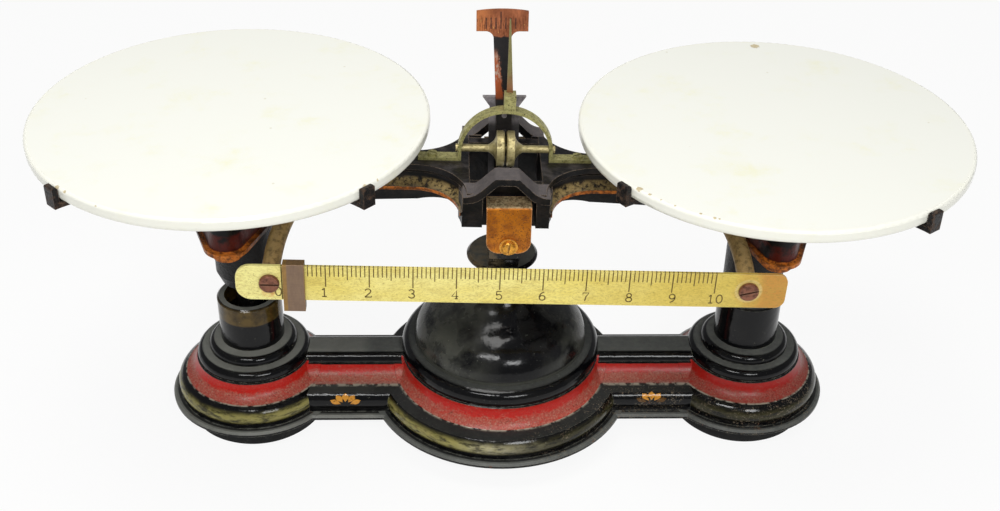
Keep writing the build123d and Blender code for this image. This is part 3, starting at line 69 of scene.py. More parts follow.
# Node tree of one material, with places in millimetres at rest
class Finish:
    def __init__(self, name):
        self.material = bpy.data.materials.new(name)
        self.material.use_nodes = True
        self.tree = self.material.node_tree
        self.tree.nodes.clear()
        coordinates = self.add("ShaderNodeTexCoord")
        self.place = self.add(
            "ShaderNodeVectorMath", coordinates.outputs["Object"], operation="SCALE"
        )
        self.place.inputs["Scale"].default_value = 1 / MM
        self.place = self.place.outputs[0]
        self.x, self.y, self.z = self.add("ShaderNodeSeparateXYZ", self.place).outputs
        facing = self.add("ShaderNodeSeparateXYZ", coordinates.outputs["Normal"]).outputs
        self.face_x, self.face_y, self.up = facing

    def add(self, kind, *values, **settings):
        node = self.tree.nodes.new(kind)
        for key, value in settings.items():
            setattr(node, key, value)
        for socket, value in zip(node.inputs, values):
            self.put(socket, value)
        return node

    def put(self, socket, value):
        if isinstance(value, bpy.types.NodeSocket):
            self.tree.links.new(value, socket)
        elif value is not None:
            socket.default_value = value

    def math(self, operation, a, b=None):
        return self.add("ShaderNodeMath", a, b, operation=operation).outputs[0]

    def plus(self, a, b):
        return self.math("ADD", a, b)

    def minus(self, a, b):
        return self.math("SUBTRACT", a, b)

    def absolute(self, value):
        return self.math("ABSOLUTE", value)

    def square(self, value):
        return self.math("POWER", value, 2.0)

    def times(self, *values):
        product = values[0]
        for value in values[1:]:
            product = self.math("MULTIPLY", product, value)
        return product

    def most(self, *values):
        result = values[0]
        for value in values[1:]:
            result = self.math("MAXIMUM", result, value)
        return result

    def least(self, a, b):
        return self.math("MINIMUM", a, b)

    # What a mask leaves: 1 where it is 0
    def less(self, value):
        return self.minus(1.0, value)

    # 0 at low and 1 at high, smooth between
    def ramp(self, value, low, high):
        return self.add(
            "ShaderNodeMapRange", value, low, high, interpolation_type="SMOOTHSTEP"
        ).outputs[0]

    # 1 where the value is over or under a limit, with a soft step
    def over(self, value, limit, soft=0.2):
        return self.ramp(value, limit - soft, limit + soft)

    def under(self, value, limit, soft=0.2):
        return self.ramp(value, limit + soft, limit - soft)

    # 1 between low and high, with soft ends
    def band(self, value, low, high, soft):
        return self.times(self.over(value, low, soft), self.under(value, high, soft))

    # Distance from an upright line through the part's long middle
    def radius(self, x=0.0):
        across = self.square(self.minus(self.x, x))
        along = self.square(self.y)
        return self.math("SQRT", self.plus(across, along))

    # Places in the beam's own frame, before it leans
    def beam_place(self):
        rise = self.minus(self.z, PIVOT)
        x = self.minus(self.times(self.x, math.cos(TILT)), self.times(rise, math.sin(TILT)))
        z = self.plus(self.times(self.x, math.sin(TILT)), self.times(rise, math.cos(TILT)))
        return x, self.plus(z, PIVOT)

    def mix(self, share, a, b):
        node = self.add("ShaderNodeMix", data_type="RGBA")
        self.put(node.inputs[0], share)
        self.put(node.inputs[6], a)
        self.put(node.inputs[7], b)
        return node.outputs[2]

    # Places scaled and shifted, which gives each texture a grain and a cut of its own
    def mapped(self, scale, shift):
        node = self.add("ShaderNodeMapping", self.place)
        node.inputs["Scale"].default_value = scale
        node.inputs["Location"].default_value = (shift, shift, shift)
        return node.outputs[0]

    # Noise with a grain in millimetres, longer along the axes where stretch is over 1
    def noise(self, grain, detail=4.0, rough=0.55, stretch=(1, 1, 1), shift=0.0):
        place = self.mapped([1 / (grain * s) for s in stretch], shift)
        texture = self.add("ShaderNodeTexNoise", place)
        texture.inputs["Scale"].default_value = 1.0
        texture.inputs["Detail"].default_value = detail
        texture.inputs["Roughness"].default_value = rough
        return texture.outputs[0]

    # Noise turned into patches: 0 at low and 1 at high
    def patches(self, low, high, *grain, **shape):
        return self.ramp(self.noise(*grain, **shape), low, high)

    # Noise around zero that reaches half of reach either way
    def drift(self, reach, *grain, **shape):
        return self.times(self.minus(self.noise(*grain, **shape), 0.5), reach)

    # Small round spots with a grain in millimetres, 1 inside a spot
    def spots(self, grain, size, soft, shift):
        texture = self.add("ShaderNodeTexVoronoi", self.mapped([1 / grain] * 3, shift))
        texture.inputs["Scale"].default_value = 1.0
        return self.ramp(texture.outputs["Distance"], size + soft, size)

    # 1 on edges that are sharper than the radius, in millimetres
    def edges(self, radius, low=0.02, high=0.2):
        bevel = self.add("ShaderNodeBevel", samples=4)
        bevel.inputs["Radius"].default_value = radius * MM
        true = self.add("ShaderNodeNewGeometry").outputs["Normal"]
        dot = self.add("ShaderNodeVectorMath", bevel.outputs[0], true, operation="DOT_PRODUCT")
        return self.ramp(self.less(dot.outputs["Value"]), low, high)

    # 1 in creases, 0 in the open
    def creases(self, reach, low=0.25, high=0.7):
        shade = self.add("ShaderNodeAmbientOcclusion", samples=4)
        shade.inputs["Distance"].default_value = reach * MM
        return self.ramp(self.less(shade.outputs["AO"]), low, high)

    # Principled shader with a bump whose depth is in millimetres
    def finish(self, colour, rough, height, depth, metal=0.0, specular=0.5):
        bump = self.add("ShaderNodeBump")
        bump.inputs["Strength"].default_value = 1.0
        bump.inputs["Distance"].default_value = depth * MM
        self.put(bump.inputs["Height"], height)
        shader = self.add("ShaderNodeBsdfPrincipled")
        self.put(shader.inputs["Base Color"], colour)
        self.put(shader.inputs["Roughness"], rough)
        self.put(shader.inputs["Metallic"], metal)
        shader.inputs["Specular IOR Level"].default_value = specular
        self.put(shader.inputs["Normal"], bump.outputs[0])
        output = self.add("ShaderNodeOutputMaterial")
        self.put(output.inputs["Surface"], shader.outputs[0])
        return self.material


BLACK = rgb(6, 6, 8)
RED = rgb(186, 26, 16)
ROSE = rgb(160, 90, 76)
OLIVE = rgb(160, 154, 76)
GOLD = rgb(226, 164, 66)

# Palmettes: middle, foot, and how much paint is left on the inner and on the outermost petals
PALMETTES = ((-65.4, 18.4, 1.0, 1.0), (63.8, 18.8, 0.9, 0.14))

# Petals of a palmette: turn in degrees, length and half width
PETALS = ((-66, 7.6, 1.4), (-35, 7.3, 1.5), (0, 7.0, 1.6), (35, 7.3, 1.5), (66, 7.6, 1.4))


# Worn olive gold on the lobes' lower beads, fading out to the right, with a painted highlight near
# the middle, as a mask and a colour
def olive_stripe(g, z, centre, end):
    turned = g.ramp(g.absolute(g.face_x), 0.06, 0.12)
    off_end = g.absolute(g.minus(g.absolute(g.x), ARM))
    middle = g.most(g.ramp(g.absolute(g.x), 24.0, 20.0), g.ramp(off_end, 16.0, 13.0))
    lobes = g.most(g.under(end, END_LIP - 0.2, 0.3), g.under(centre, CENTRE_LIP - 0.2))
    lobes = g.times(lobes, g.most(turned, middle))
    stripe = g.times(g.band(z, STRIPE_FOOT, STRIPE_TOP, 1.2), lobes)
    rubbed = g.patches(0.36, 0.56, 4.6, 7.0, 0.7, (1.6, 1.6, 0.4), 5.0)
    leftness = g.ramp(g.plus(g.x, g.times(g.noise(14.0, 3.0), 30.0)), 40.0, 0.0)
    strength = g.plus(g.times(leftness, 0.84), 0.12)
    mask = g.times(stripe, g.plus(g.times(rubbed, 0.66), 0.1), strength)
    # Painted highlight: a pale sheen on the stripe near the middle of the centre lobe
    painted_highlight = g.times(g.ramp(g.absolute(g.minus(g.x, 2.0)), 24.0, 6.0), g.noise(2.0, 5.0), 1.3)
    olive = g.mix(g.noise(3.0, 5.0), OLIVE, rgb(176, 164, 104))
    return mask, g.mix(painted_highlight, olive, rgb(214, 206, 172))


# Palmettes on the front beads of the two bars, worn through in patches
def palmettes(g):
    petals = 0.0
    for middle, foot, inner, outermost in PALMETTES:
        for turn, reach, wide in PETALS:
            angle = math.radians(turn)
            right = g.minus(g.x, middle)
            rise = g.plus(g.minus(g.z, foot), g.times(g.minus(g.y, BEAD_FRONT), 0.67))
            along = g.plus(g.times(right, math.sin(angle)), g.times(rise, math.cos(angle)))
            across = g.minus(g.times(right, math.cos(angle)), g.times(rise, math.sin(angle)))
            shape = g.times(g.ramp(along, 1.3, 0.62 * reach), g.ramp(along, reach, 0.68 * reach))
            width = g.minus(g.times(shape, wide), 0.1)
            petal = g.ramp(g.minus(width, g.absolute(across)), 0.0, 0.22)
            petal = g.times(petal, inner if abs(turn) < 50 else outermost)
            petals = g.most(petals, petal)
    worn = g.patches(0.7, 0.5, 1.3, 6.0, 0.7, shift=2.0)
    return g.times(petals, worn, g.ramp(g.y, -16.6, -17.2), g.ramp(g.z, 22.4, 22.2))


# Crimson of the coves, bright at the top and rubbed to a dusty rose lower down
def crimson(g, rise, bars):
    rub = g.plus(g.ramp(rise, 0.66, 0.3), g.drift(3.4, 2.0, 7.0, 0.75, (1.6, 1.6, 0.8)))
    rub = g.ramp(rub, 0.0, 1.1)
    red = g.mix(g.times(rub, g.plus(0.7, g.times(bars, 0.25))), RED, ROSE)
    speckle = g.times(g.patches(0.5, 0.6, 0.8, 5.0, 0.75), g.plus(g.times(rub, 0.62), 0.08))
    red = g.mix(speckle, red, rgb(178, 132, 112))
    pricks = g.patches(0.55, 0.63, 0.7, 4.0, 0.75, shift=7.0)
    red = g.mix(g.times(pricks, g.plus(g.times(rub, 0.4), 0.35)), red, rgb(84, 36, 30))
    return g.mix(g.times(g.ramp(g.x, 20.0, 90.0), 0.4), red, rgb(84, 14, 12))


# Dust: thick on the wide flats, thin on the ledges over the beads, and a pale line along the lip
# that is dust with a painted highlight
def base_dust(g, centre, end, side):
    level = g.ramp(g.up, 0.9, 0.985)
    film = g.plus(0.5, g.times(g.noise(6.0, 6.0, 0.65), 0.6))
    ledge = g.band(g.z, 20.6, 22.7, 0.1)
    dome_ring = g.times(g.ramp(g.z, 37.0, 37.6), g.ramp(centre, 40.0, 39.0))
    groove = g.ramp(g.z, 13.6, 13.3)
    thin = g.less(g.most(g.times(ledge, 0.8), g.times(dome_ring, 0.55), g.times(groove, 0.85)))
    in_lobe = g.most(g.under(centre, CENTRE_LIP), g.under(end, END_LIP))
    # Pale line along the lip's outer rounding: dust with a painted highlight
    lip_dust_and_highlight = g.most(
        g.times(g.under(centre, CENTRE_LIP), g.over(centre, CENTRE_LIP - LIP_WIDTH, 0.4)),
        g.times(g.under(end, END_LIP), g.over(end, END_LIP - LIP_WIDTH, 0.4)),
        g.times(g.less(in_lobe), g.ramp(side, 22.6, 23.4)),
    )
    uneven = g.plus(0.45, g.times(g.noise(5.0, 6.0, shift=5.0), 0.6))
    lip_dust_and_highlight = g.times(lip_dust_and_highlight, groove, g.ramp(g.up, 0.15, 0.5), uneven)
    crease = g.times(g.creases(2.2), g.patches(0.35, 0.7, 3.0, 5.0, 0.6, shift=9.0), 0.75)
    return g.least(g.most(g.times(level, film, thin), lip_dust_and_highlight, crease), 0.92)


# Base casting: black japan, crimson coves, worn gold stripes with a painted highlight, palmettes
# and dust
def base_japan():
    g = Finish("base_japan")

    # Zones: round lobes in the middle and at the ends, crowns of the bars, coves around them
    wobble = g.drift(0.2, 2.4, 2.0)
    z = g.plus(g.z, wobble)
    centre = g.radius()
    end = g.least(g.radius(ARM), g.radius(-ARM))
    side = g.absolute(g.y)
    in_centre = g.under(centre, CENTRE_COVE)
    in_end = g.under(end, END_COVE)
    bars = g.less(g.most(in_centre, in_end))
    rise = g.most(g.times(in_centre, CENTRE_RISE), g.times(in_end, END_RISE))
    top = g.plus(COVE_TOP, rise)
    crown = g.times(
        g.ramp(side, 9.1, 8.8), g.ramp(g.z, 28.0, 28.3),
        g.ramp(centre, 42.4, 42.9), g.ramp(end, 24.7, 25.2),
    )
    outer = g.most(
        g.times(in_centre, g.ramp(centre, 40.4, 40.8)),
        g.times(in_end, g.ramp(end, 22.2, 22.6)),
        g.times(bars, g.ramp(side, 7.4, 7.8)),
    )
    cove = g.times(
        g.ramp(z, 22.45, 22.7), g.ramp(g.minus(top, z), 0.0, 0.25), g.less(crown), outer
    )

    # Black ground, a little browner where it is thin, and the gold on it with its painted highlight
    patches = g.patches(0.46, 0.72, 9.0, 6.0, 0.6)
    colour = g.mix(g.times(patches, 0.4), BLACK, rgb(26, 25, 22))
    gold, olive = olive_stripe(g, z, centre, end)
    colour = g.mix(gold, colour, olive)
    petals = palmettes(g)
    colour = g.mix(petals, colour, g.mix(g.noise(1.2), GOLD, rgb(204, 130, 44)))

    # Crimson coves, with a broken pale line at their foot
    rise = g.math("DIVIDE", g.minus(g.z, COVE_FOOT), g.minus(top, COVE_FOOT))
    colour = g.mix(cove, colour, crimson(g, rise, bars))
    broken = g.patches(0.4, 0.56, 2.6, 5.0, shift=2.0)
    line = g.times(g.band(g.z, 22.35, 22.6, 0.12), outer, broken, 0.65)
    colour = g.mix(line, colour, rgb(190, 180, 160))

    # Thin amber varnish near the left post's top
    post = g.times(g.ramp(end, 14.5, 14.0), g.band(z, 51.2, 58.9, 0.5), g.ramp(g.x, 0.0, -1.0))
    amber = g.mix(g.patches(0.3, 0.7, 5.0, 4.0, 0.6), rgb(50, 38, 14), rgb(98, 78, 36))
    colour = g.mix(g.times(post, 0.9), colour, amber)

    # Dust with the lip's painted highlight, thinner on the coves and the gold, and light worn edges
    dust = base_dust(g, centre, end, side)
    dust = g.times(dust, g.less(g.times(cove, 0.55)), g.less(g.times(petals, 0.8)))
    shade = g.mix(g.noise(2.2, 6.0, 0.75, shift=3.0), rgb(72, 75, 74), rgb(124, 125, 119))
    pale_left = g.times(g.ramp(g.x, -20.0, -50.0), g.ramp(centre, 54.0, 60.0))
    shade = g.mix(g.times(pale_left, 0.6), shade, rgb(146, 146, 138))
    colour = g.mix(dust, colour, shade)
    edge = g.times(g.edges(0.45), g.patches(0.36, 0.6, 2.0, 4.0, shift=4.0), 0.8, g.less(cove))
    colour = g.mix(edge, colour, rgb(146, 145, 132))

    # Rust low down, pale flecks, and grime on the right-hand beads
    rust = g.times(g.patches(0.63, 0.7, 7.0, 7.0, 0.72, shift=11.0), g.ramp(g.z, 24.0, 18.0))
    colour = g.mix(g.times(rust, g.less(petals), 0.7), colour, rgb(104, 66, 46))
    flecks = g.times(g.patches(0.66, 0.7, 0.9, 4.0, 0.7, shift=6.0), g.less(cove))
    flecks = g.times(flecks, g.patches(0.44, 0.6, 12.0, 3.0, shift=2.0), 0.6)
    colour = g.mix(flecks, colour, rgb(168, 166, 148))
    grime = g.patches(0.54, 0.62, 0.9, 5.0, 0.75, shift=9.0)
    grime = g.times(grime, g.patches(0.4, 0.56, 9.0, 4.0, shift=3.0))
    grime = g.times(grime, g.ramp(g.z, 22.3, 21.9), g.ramp(g.x, 0.0, 30.0), g.less(petals), 0.6)
    colour = g.mix(grime, colour, g.mix(g.noise(4.0), rgb(150, 146, 126), rgb(112, 78, 58)))
    rough = g.plus(g.plus(0.07, g.times(dust, 0.4)), g.times(g.most(cove, gold), 0.2))
    rough = g.plus(rough, g.times(g.noise(8.0, 5.0), 0.08))
    height = g.plus(g.times(g.noise(7.0, 3.0), 0.7), g.times(g.noise(0.7, 3.0), 0.07))
    return g.finish(colour, rough, height, 0.3, specular=0.24)


# Pillar: black japan with a soft bloom of dust on its left side
def bell_japan():
    g = Finish("bell_japan")
    ground = g.mix(g.patches(0.42, 0.7, 10.0, 6.0, 0.6), BLACK, rgb(22, 22, 23))
    level = g.ramp(g.up, 0.9, 0.98)
    cloudy = g.patches(0.3, 0.6, 11.0, 6.0, 0.6, shift=3.0)
    veil = g.times(g.ramp(g.face_x, 0.05, -0.7), cloudy, 0.62)
    right = g.times(g.ramp(g.face_x, 0.3, 0.85), g.patches(0.36, 0.66, 9.0, 6.0, shift=7.0), 0.5)
    low = g.ramp(g.z, COLLAR, COLLAR - 6.0)
    scuffs = g.patches(0.62, 0.7, 1.5, 6.0, 0.75, (2.4, 2.4, 0.6))
    scuffs = g.times(scuffs, g.patches(0.5, 0.6, 16.0, 2.0, shift=8.0), 0.6)
    foot = g.times(g.ramp(g.z, 40.6, 38.8), 0.6)
    dust = g.most(
        g.times(level, 0.55), g.times(g.most(veil, right), low), scuffs, foot,
        g.times(g.creases(2.0), 0.5),
    )
    colour = g.mix(dust, ground, g.mix(g.noise(4.0, 5.0), rgb(74, 76, 70), rgb(106, 106, 96)))
    collar = g.times(g.ramp(g.z, COLLAR - 2.0, COLLAR), g.ramp(g.x, 2.0, -3.0))
    collar = g.times(collar, g.patches(0.36, 0.6, 4.0, 5.0, shift=2.0), 0.7)
    colour = g.mix(collar, colour, g.mix(g.noise(2.0, 4.0), rgb(92, 92, 80), rgb(110, 86, 56)))
    flecks = g.patches(0.66, 0.7, 0.8, 4.0, 0.7, shift=6.0)
    flecks = g.times(flecks, g.patches(0.44, 0.6, 9.0, 3.0, shift=2.0), 0.7)
    colour = g.mix(flecks, colour, rgb(158, 158, 144))
    rough = g.plus(g.plus(0.08, g.times(dust, 0.4)), g.times(g.noise(7.0), 0.1))
    height = g.plus(g.noise(9.0, 3.0), g.times(g.noise(0.8, 3.0), 0.06))
    return g.finish(colour, rough, height, 0.3, specular=0.24)


# Beam: black japan with orange lines along its ledges, tan dust and grey straps
def beam_japan():
    g = Finish("beam_japan")
    x, z = g.beam_place()
    reach = g.absolute(x)
    side = g.absolute(g.y)
    wobble = g.drift(0.6, 2.0, 3.0)
    height_z = g.plus(z, wobble)
    line = g.times(g.band(height_z, 113.3, 115.0, 0.2), g.ramp(g.up, 0.85, 0.6))
    line = g.times(line, g.ramp(reach, 17.0, 18.0), g.ramp(reach, RING_START, RING_START - 2.0))
    ragged = g.drift(14.0, 3.0, 4.0, shift=8.0)
    end = g.ramp(reach, RING_START - 2.0, RING_START)
    end = g.times(end, g.ramp(g.plus(side, ragged), 16.0, 25.0))
    nose = g.times(end, g.ramp(height_z, 105.0, 104.4))
    flush = g.times(end, g.band(height_z, 104.6, 111.0, 0.8))
    flush = g.times(flush, g.patches(0.34, 0.56, 5.0, 5.0, shift=3.0))
    tip = g.ramp(g.absolute(g.minus(reach, ARM)), 13.0, 6.0)
    nose = g.times(nose, g.plus(g.times(tip, 0.9), 0.1))
    paint = g.most(line, nose)
    colour = g.mix(g.patches(0.42, 0.7, 7.0, 6.0, 0.6), BLACK, rgb(34, 28, 25))
    colour = g.mix(g.times(flush, 0.9), colour, rgb(84, 24, 14))
    worn = g.patches(0.4, 0.56, 2.4, 6.0, 0.75, shift=5.0)
    orange = g.mix(g.noise(2.2, 5.0, 0.65), rgb(168, 80, 20), rgb(232, 142, 56))
    colour = g.mix(g.times(paint, g.plus(g.times(worn, 0.75), 0.25)), colour, orange)

    # Tan dust low in the hollow necks, dark above it
    slope = g.times(g.ramp(g.up, 0.25, 0.6), g.band(z, 114.4, 118.4, 1.0))
    slope = g.times(slope, g.less(line), g.ramp(reach, 90.0, 86.0))
    tan = g.times(slope, g.patches(0.4, 0.54, 2.2, 7.0, 0.8, shift=2.0))
    clay = g.mix(g.noise(1.4, 5.0, 0.7), rgb(178, 156, 100), rgb(96, 74, 52))
    colour = g.mix(g.times(tan, 0.92), colour, clay)

    # Grey dust on the straps, little on the deck
    strap = g.times(g.ramp(side, STRAP_SIDE, STRAP_SIDE + 0.6), g.ramp(reach, 17.6, 17.0))
    strap = g.times(strap, g.ramp(g.up, 0.3, 0.7))
    film = g.plus(0.02, g.times(g.patches(0.44, 0.7, 5.0, 6.0), 0.36))
    level = g.times(g.ramp(g.up, 0.8, 0.97), film)
    crease = g.times(g.creases(1.8), 0.3)
    dust = g.most(g.times(strap, g.plus(0.7, g.times(g.noise(1.4, 5.0), 0.3))), level, crease)
    shade = g.mix(g.noise(2.4, 6.0, 0.75, shift=6.0), rgb(62, 60, 66), rgb(122, 114, 110))
    colour = g.mix(g.times(dust, g.less(g.times(paint, 0.8))), colour, shade)
    edge = g.times(g.edges(0.5), g.patches(0.34, 0.55, 1.8, 4.0, shift=4.0), 0.8)
    colour = g.mix(g.times(edge, g.ramp(g.z, 112.0, 116.0)), colour, rgb(148, 130, 112))
    rough = g.plus(g.plus(0.3, g.times(g.most(dust, tan), 0.4)), g.times(g.noise(5.0), 0.14))
    height = g.plus(g.noise(3.5, 4.0), g.times(g.noise(0.6, 3.0), 0.3))
    return g.finish(colour, rough, height, 0.35, specular=0.2)


# Carriers and stems: thin black paint that wears to brown iron
def carrier_japan(name, brown, low):
    g = Finish(name)
    wear = g.patches(low, low + 0.16, 2.6, 7.0, 0.74)
    edge = g.times(g.edges(0.5), g.patches(0.3, 0.56, 1.2, 4.0, shift=4.0))
    colour = g.mix(g.most(g.times(wear, 0.8), edge), rgb(12, 10, 10), brown)
    level = g.times(g.ramp(g.up, 0.8, 0.98), g.plus(0.1, g.times(g.noise(4.0, 5.0), 0.4)))
    colour = g.mix(level, colour, rgb(92, 84, 74))
    rough = g.plus(0.34, g.times(g.most(wear, level), 0.36))
    height = g.plus(g.noise(2.0, 5.0, 0.65), g.times(g.noise(0.5, 3.0), 0.4))
    return g.finish(colour, rough, height, 0.6, specular=0.25)


# Metal with a tarnish that gathers in patches and creases, creases darkened further with dark grime
# and painted shade, and maybe a foot of another colour
def metal(
    name, bright, dull, grain, low=0.42, rough=0.4, pits=0.4, metallic=0.85, dusty=0.3,
    scratch=None, foot=None,
):
    g = Finish(name)
    tarnish = g.patches(low, low + 0.26, grain, 7.0, 0.68)
    tarnish = g.most(tarnish, g.times(g.creases(1.2), 0.9))
    edge = g.times(g.edges(0.35), g.patches(0.3, 0.55, 1.5, 3.0, shift=4.0))
    tarnish = g.times(tarnish, g.less(g.times(edge, 0.7)))
    tone = g.mix(g.noise(grain * 0.35, 5.0, shift=3.0), dull, g.mix(0.35, dull, bright))
    colour = g.mix(g.times(tarnish, 0.9), bright, tone)
    colour = g.mix(g.times(edge, 0.45), colour, g.mix(0.45, bright, rgb(250, 244, 214)))
    level = g.times(g.ramp(g.up, 0.85, 0.98), g.noise(4.0, 5.0, shift=1.0), dusty)
    colour = g.mix(level, colour, rgb(120, 112, 92))
    dots = g.patches(0.57, 0.66, 0.7, 4.0, 0.75, shift=5.0)
    colour = g.mix(g.times(dots, pits), colour, g.mix(0.6, dull, rgb(20, 16, 12)))
    if foot:
        colour = g.mix(g.times(g.ramp(g.z, foot[0], foot[1]), 0.85), colour, foot[2])
    # Painted shade with dark grime: creases darkened nearly to black
    colour = g.mix(g.times(g.creases(0.9, 0.6, 0.85), 0.85), colour, rgb(26, 18, 12))
    rough = g.plus(g.plus(rough, g.times(tarnish, 0.22)), g.times(level, 0.3))
    height = g.minus(g.times(g.noise(0.8, 4.0), 0.4), g.times(dots, pits))
    if scratch:
        height = g.plus(height, g.times(g.noise(0.35, 3.0, 0.6, scratch), 0.35))
    return g.finish(colour, rough, height, 0.14, metal=metallic)


# Graduated bar: yellow brass, paler on the left and heated brown at its right end
def bar_brass():
    g = Finish("bar_brass")
    x, z = g.beam_place()
    tone = g.patches(0.3, 0.7, 14.0, 5.0, 0.6, (2.5, 1, 1))
    colour = g.mix(tone, rgb(255, 242, 152), rgb(246, 226, 118))
    colour = g.mix(g.ramp(x, -70.0, -92.0), colour, rgb(255, 246, 160))
    deep = g.times(g.ramp(g.plus(x, g.drift(40.0, 20.0, 3.0)), 10.0, 80.0), 0.75)
    colour = g.mix(deep, colour, rgb(216, 186, 70))
    heat = g.ramp(g.plus(x, g.drift(22.0, 9.0, 5.0)), 82.0, 98.0)
    brown = g.mix(g.noise(4.0, 6.0, 0.7), rgb(190, 122, 44), rgb(214, 154, 70))
    colour = g.mix(g.times(heat, 0.9), colour, brown)
    off = g.plus(g.square(g.plus(x, 87.4)), g.square(g.times(g.minus(z, 96.6), 1.3)))
    stain = g.times(g.ramp(off, 10.0, 1.0), g.patches(0.3, 0.6, 2.2, 5.0))
    colour = g.mix(g.times(stain, 0.8), colour, rgb(222, 144, 68))
    ring = g.plus(g.square(g.minus(x, BAR_SCREW)), g.square(g.minus(z, BAR_MIDDLE)))
    colour = g.mix(g.times(g.band(ring, 14.0, 26.0, 4.0), 0.6), colour, rgb(240, 220, 150))
    fog = g.times(g.patches(0.46, 0.68, 3.0, 7.0, 0.8, (2.4, 1, 1), 3.0), 0.4)
    colour = g.mix(fog, colour, rgb(196, 168, 72))
    grain = g.times(g.patches(0.46, 0.62, 0.45, 4.0, 0.75, (3, 1, 1), 5.0), 0.34)
    colour = g.mix(grain, colour, rgb(168, 142, 56))
    specks = g.times(g.patches(0.57, 0.66, 0.7, 5.0, 0.75, shift=8.0), 0.5)
    colour = g.mix(specks, colour, rgb(134, 108, 40))
    edge = g.edges(0.3)
    colour = g.mix(g.times(edge, 0.6), colour, rgb(252, 244, 190))
    rough = g.plus(0.34, g.times(g.noise(5.0, 5.0), 0.2))
    brushed = g.times(g.noise(0.35, 3.0, 0.6, (36, 1, 1)), 0.5)
    height = g.minus(g.plus(brushed, g.times(g.noise(1.6, 4.0), 0.3)), g.times(specks, 0.5))
    return g.finish(colour, rough, height, 0.08, metal=0.2)


# Poise: brass with a mauve-brown skin that is rubbed off along its edges
def poise_brass():
    g = Finish("poise_brass")
    x = g.beam_place()[0]
    skin = g.mix(g.noise(2.6, 6.0, 0.7, (1, 1, 2.5)), rgb(118, 94, 80), rgb(158, 132, 106))
    weave = g.times(g.noise(0.4, 2.0, 0.5, (1, 1, 12)), g.noise(0.5, 2.0, 0.5, (12, 1, 1)), 1.4)
    skin = g.mix(g.times(weave, 0.5), skin, rgb(78, 58, 50))
    strip = g.times(g.ramp(x, -80.1, -80.7), 0.85)
    bare = g.most(g.edges(0.5, 0.01, 0.12), g.times(g.ramp(g.up, 0.7, 0.95), 0.4), strip)
    bare = g.most(bare, g.times(g.patches(0.6, 0.74, 2.6, 6.0, 0.7, (0.4, 1, 3), 2.0), 0.5))
    colour = g.mix(bare, skin, g.mix(g.noise(1.6, 5.0), rgb(186, 142, 70), rgb(118, 92, 52)))
    rough = g.plus(0.36, g.times(g.noise(4.0, 5.0), 0.18))
    height = g.times(g.noise(0.4, 3.0, 0.6, (1, 1, 20)), 0.6)
    return g.finish(colour, rough, height, 0.08, metal=0.5)


# Coppered guards: orange metal with dark freckles and a dusty top
def coppered_sheet():
    g = Finish("coppered_sheet")
    colour = g.mix(g.patches(0.32, 0.68, 5.0, 6.0, 0.65), rgb(204, 122, 8), rgb(156, 84, 2))
    freckles = g.times(g.patches(0.54, 0.68, 0.55, 2.0, 0.6), 0.75)
    colour = g.mix(freckles, colour, rgb(92, 46, 6))
    top = g.times(g.ramp(g.up, 0.6, 0.9), g.plus(0.7, g.times(g.noise(2.4, 5.0), 0.4)))
    grit = g.mix(g.patches(0.4, 0.62, 1.0, 5.0, 0.7), rgb(112, 98, 70), rgb(196, 176, 136))
    colour = g.mix(top, colour, grit)
    edge = g.edges(0.7)
    colour = g.mix(g.times(edge, 0.9), colour, rgb(240, 184, 130))
    rough = g.plus(g.plus(0.38, g.times(top, 0.3)), g.times(freckles, 0.2))
    height = g.minus(g.noise(1.6, 4.0), freckles)
    return g.finish(colour, rough, height, 0.14, metal=0.4)


# Index plate: copper-red head above a stem that is painted black
def index_brass():
    g = Finish("index_brass")
    tone = g.patches(0.3, 0.68, 4.0, 6.0, 0.65, (1, 1, 1.6))
    copper = g.mix(tone, rgb(186, 112, 74), rgb(130, 72, 44))
    copper = g.mix(g.ramp(g.x, -3.0, -10.0), copper, rgb(200, 122, 72))
    streaks = g.patches(0.48, 0.6, 1.1, 5.0, 0.7, (0.5, 1, 3.0))
    copper = g.mix(g.times(streaks, g.ramp(g.z, 184.0, 178.0), 0.8), copper, rgb(108, 58, 34))
    bright = g.patches(0.62, 0.7, 1.3, 4.0, 0.6, (0.7, 1, 1.6), 9.0)
    copper = g.mix(g.times(bright, g.band(g.z, 173.0, 180.0, 1.0)), copper, rgb(236, 184, 104))
    paint = g.ramp(g.plus(g.z, g.drift(3.0, 2.0, 4.0)), 172.6, 171.8)
    torn = g.plus(g.x, g.times(g.noise(2.0, 6.0, 0.78, (0.6, 1, 1.2)), 5.0))
    torn = g.plus(torn, g.times(g.minus(g.z, 150.0), 0.13))
    scraped = g.times(g.ramp(torn, 2.0, 1.0), g.ramp(g.z, 168.0, 162.0), g.ramp(g.z, 145.2, 147.4))
    paint = g.times(paint, g.less(g.times(scraped, 0.95)))
    black = g.mix(g.noise(3.0, 5.0), rgb(8, 9, 14), rgb(44, 40, 40))
    colour = g.mix(paint, copper, black)
    chalk = g.times(scraped, g.patches(0.46, 0.56, 1.1, 5.0, 0.7, (0.6, 1, 2), 3.0))
    chalk = g.times(chalk, g.ramp(g.z, 152.0, 157.0))
    rusty = g.mix(g.noise(1.4, 5.0, 0.7), rgb(206, 86, 36), rgb(150, 92, 60))
    colour = g.mix(g.times(scraped, g.ramp(g.z, 171.0, 169.0), 0.85), colour, rusty)
    colour = g.mix(g.times(chalk, 0.8), colour, rgb(196, 176, 160))
    edge = g.edges(0.3)
    colour = g.mix(g.times(edge, 0.5), colour, rgb(70, 48, 38))
    rough = g.plus(0.42, g.times(g.noise(3.0, 4.0), 0.2))
    height = g.plus(g.times(g.noise(1.8, 4.0), 0.6), g.times(paint, 0.5))
    return g.finish(colour, rough, height, 0.1, metal=g.times(g.less(paint), 0.3), specular=0.3)


